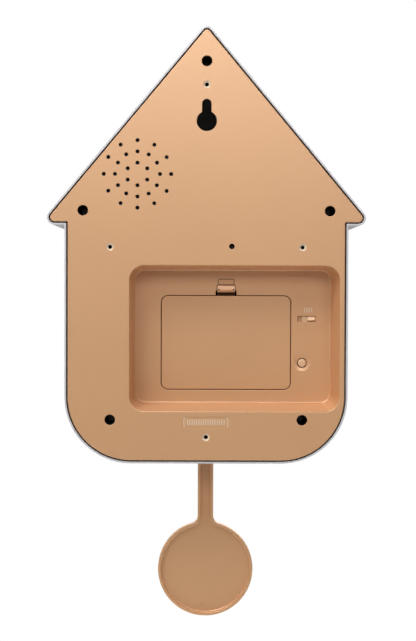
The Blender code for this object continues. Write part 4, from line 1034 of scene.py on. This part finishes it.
def make_studio():
    """Lamps, a soft sky that the camera sees as plain white, and a pale floor."""
    for lamp in LAMPS:
        make_light(*lamp)

    world = bpy.data.worlds.new("studio")
    world.use_nodes = True
    tree = world.node_tree
    ambient = tree.nodes["Background"]
    ambient.inputs["Strength"].default_value = AMBIENT_STRENGTH
    place = tree.nodes.new("ShaderNodeTexCoord")
    split = tree.nodes.new("ShaderNodeSeparateXYZ")
    tree.links.new(place.outputs["Generated"], split.inputs["Vector"])
    height = add_node(tree, "ShaderNodeMapRange", From_Min=-0.5, From_Max=0.6)
    tree.links.new(split.outputs["Z"], height.inputs["Value"])
    sky = tree.nodes.new("ShaderNodeValToRGB")
    sky.color_ramp.elements[0].color = AMBIENT_BELOW
    sky.color_ramp.elements[1].color = AMBIENT_ABOVE
    tree.links.new(height.outputs["Result"], sky.inputs["Fac"])
    tree.links.new(sky.outputs["Color"], ambient.inputs["Color"])
    seen = add_node(tree, "ShaderNodeBackground", Color=(1.0, 1.0, 1.0, 1.0), Strength=1.0)
    rays = tree.nodes.new("ShaderNodeLightPath")
    mix = tree.nodes.new("ShaderNodeMixShader")
    tree.links.new(rays.outputs["Is Camera Ray"], mix.inputs["Fac"])
    tree.links.new(ambient.outputs["Background"], mix.inputs[1])
    tree.links.new(seen.outputs["Background"], mix.inputs[2])
    tree.links.new(mix.outputs["Shader"], tree.nodes["World Output"].inputs["Surface"])
    bpy.context.scene.world = world

    floor_mesh = bpy.data.meshes.new("floor")
    half, near, far, level = FLOOR_HALF_WIDTH, FLOOR_FRONT_Y, FLOOR_BACK_Y, FLOOR_Z
    corners = [(-half, near, level), (half, near, level), (half, far, level), (-half, far, level)]
    floor_mesh.from_pydata(corners, [], [(0, 1, 2, 3)])
    floor = bpy.data.objects.new("floor", floor_mesh)
    finish = surface("pale_floor", (0.82, 0.82, 0.82), 0.7, tint=0.01, grain=60.0, bump=0.0)
    floor_mesh.materials.append(finish)
    bpy.context.scene.collection.objects.link(floor)
    bpy.context.scene.view_settings.view_transform = "Standard"


def make_camera():
    """Long lens behind the clock, a little above the middle of the view and aimed slightly down."""
    camera = bpy.data.cameras.new("camera")
    camera.sensor_width = SENSOR_WIDTH
    camera.lens = LENS
    item = bpy.data.objects.new("camera", camera)
    level = math.cos(CAMERA_PITCH)
    forward = Vector((math.sin(CAMERA_YAW) * level, -math.cos(CAMERA_YAW) * level,
                      math.sin(CAMERA_PITCH)))
    item.location = CAMERA_PLACE
    item.rotation_mode = "QUATERNION"
    roll = Quaternion((0.0, 0.0, 1.0), CAMERA_ROLL)
    item.rotation_quaternion = forward.to_track_quat("-Z", "Y") @ roll
    bpy.context.scene.collection.objects.link(item)
    bpy.context.scene.camera = item


make_camera()
make_studio()
finishes = make_materials()
finish_cad_nodes(finishes)
make_shell(finishes["white"])
make_front_panel(finishes["white"])
make_cover(finishes["gold"], finishes["black"], finishes["dark_brown_and_shade"], finishes["pale_highlight"])
make_tray_marks(finishes["pale_highlight"])
make_mark_bars(finishes["pale_highlight"])
make_battery_door(finishes["gold"])
make_battery_latch(finishes["gold"], finishes["dark_brown_and_shade"])
make_controls(finishes)
make_grille_shade_disc(finishes["paper"])
make_cells(finishes)
make_pendulum(finishes["gold"])
make_dial(finishes)
make_hands(finishes)
make_bird(finishes)
make_bird_door(finishes)
make_door_frame(finishes)
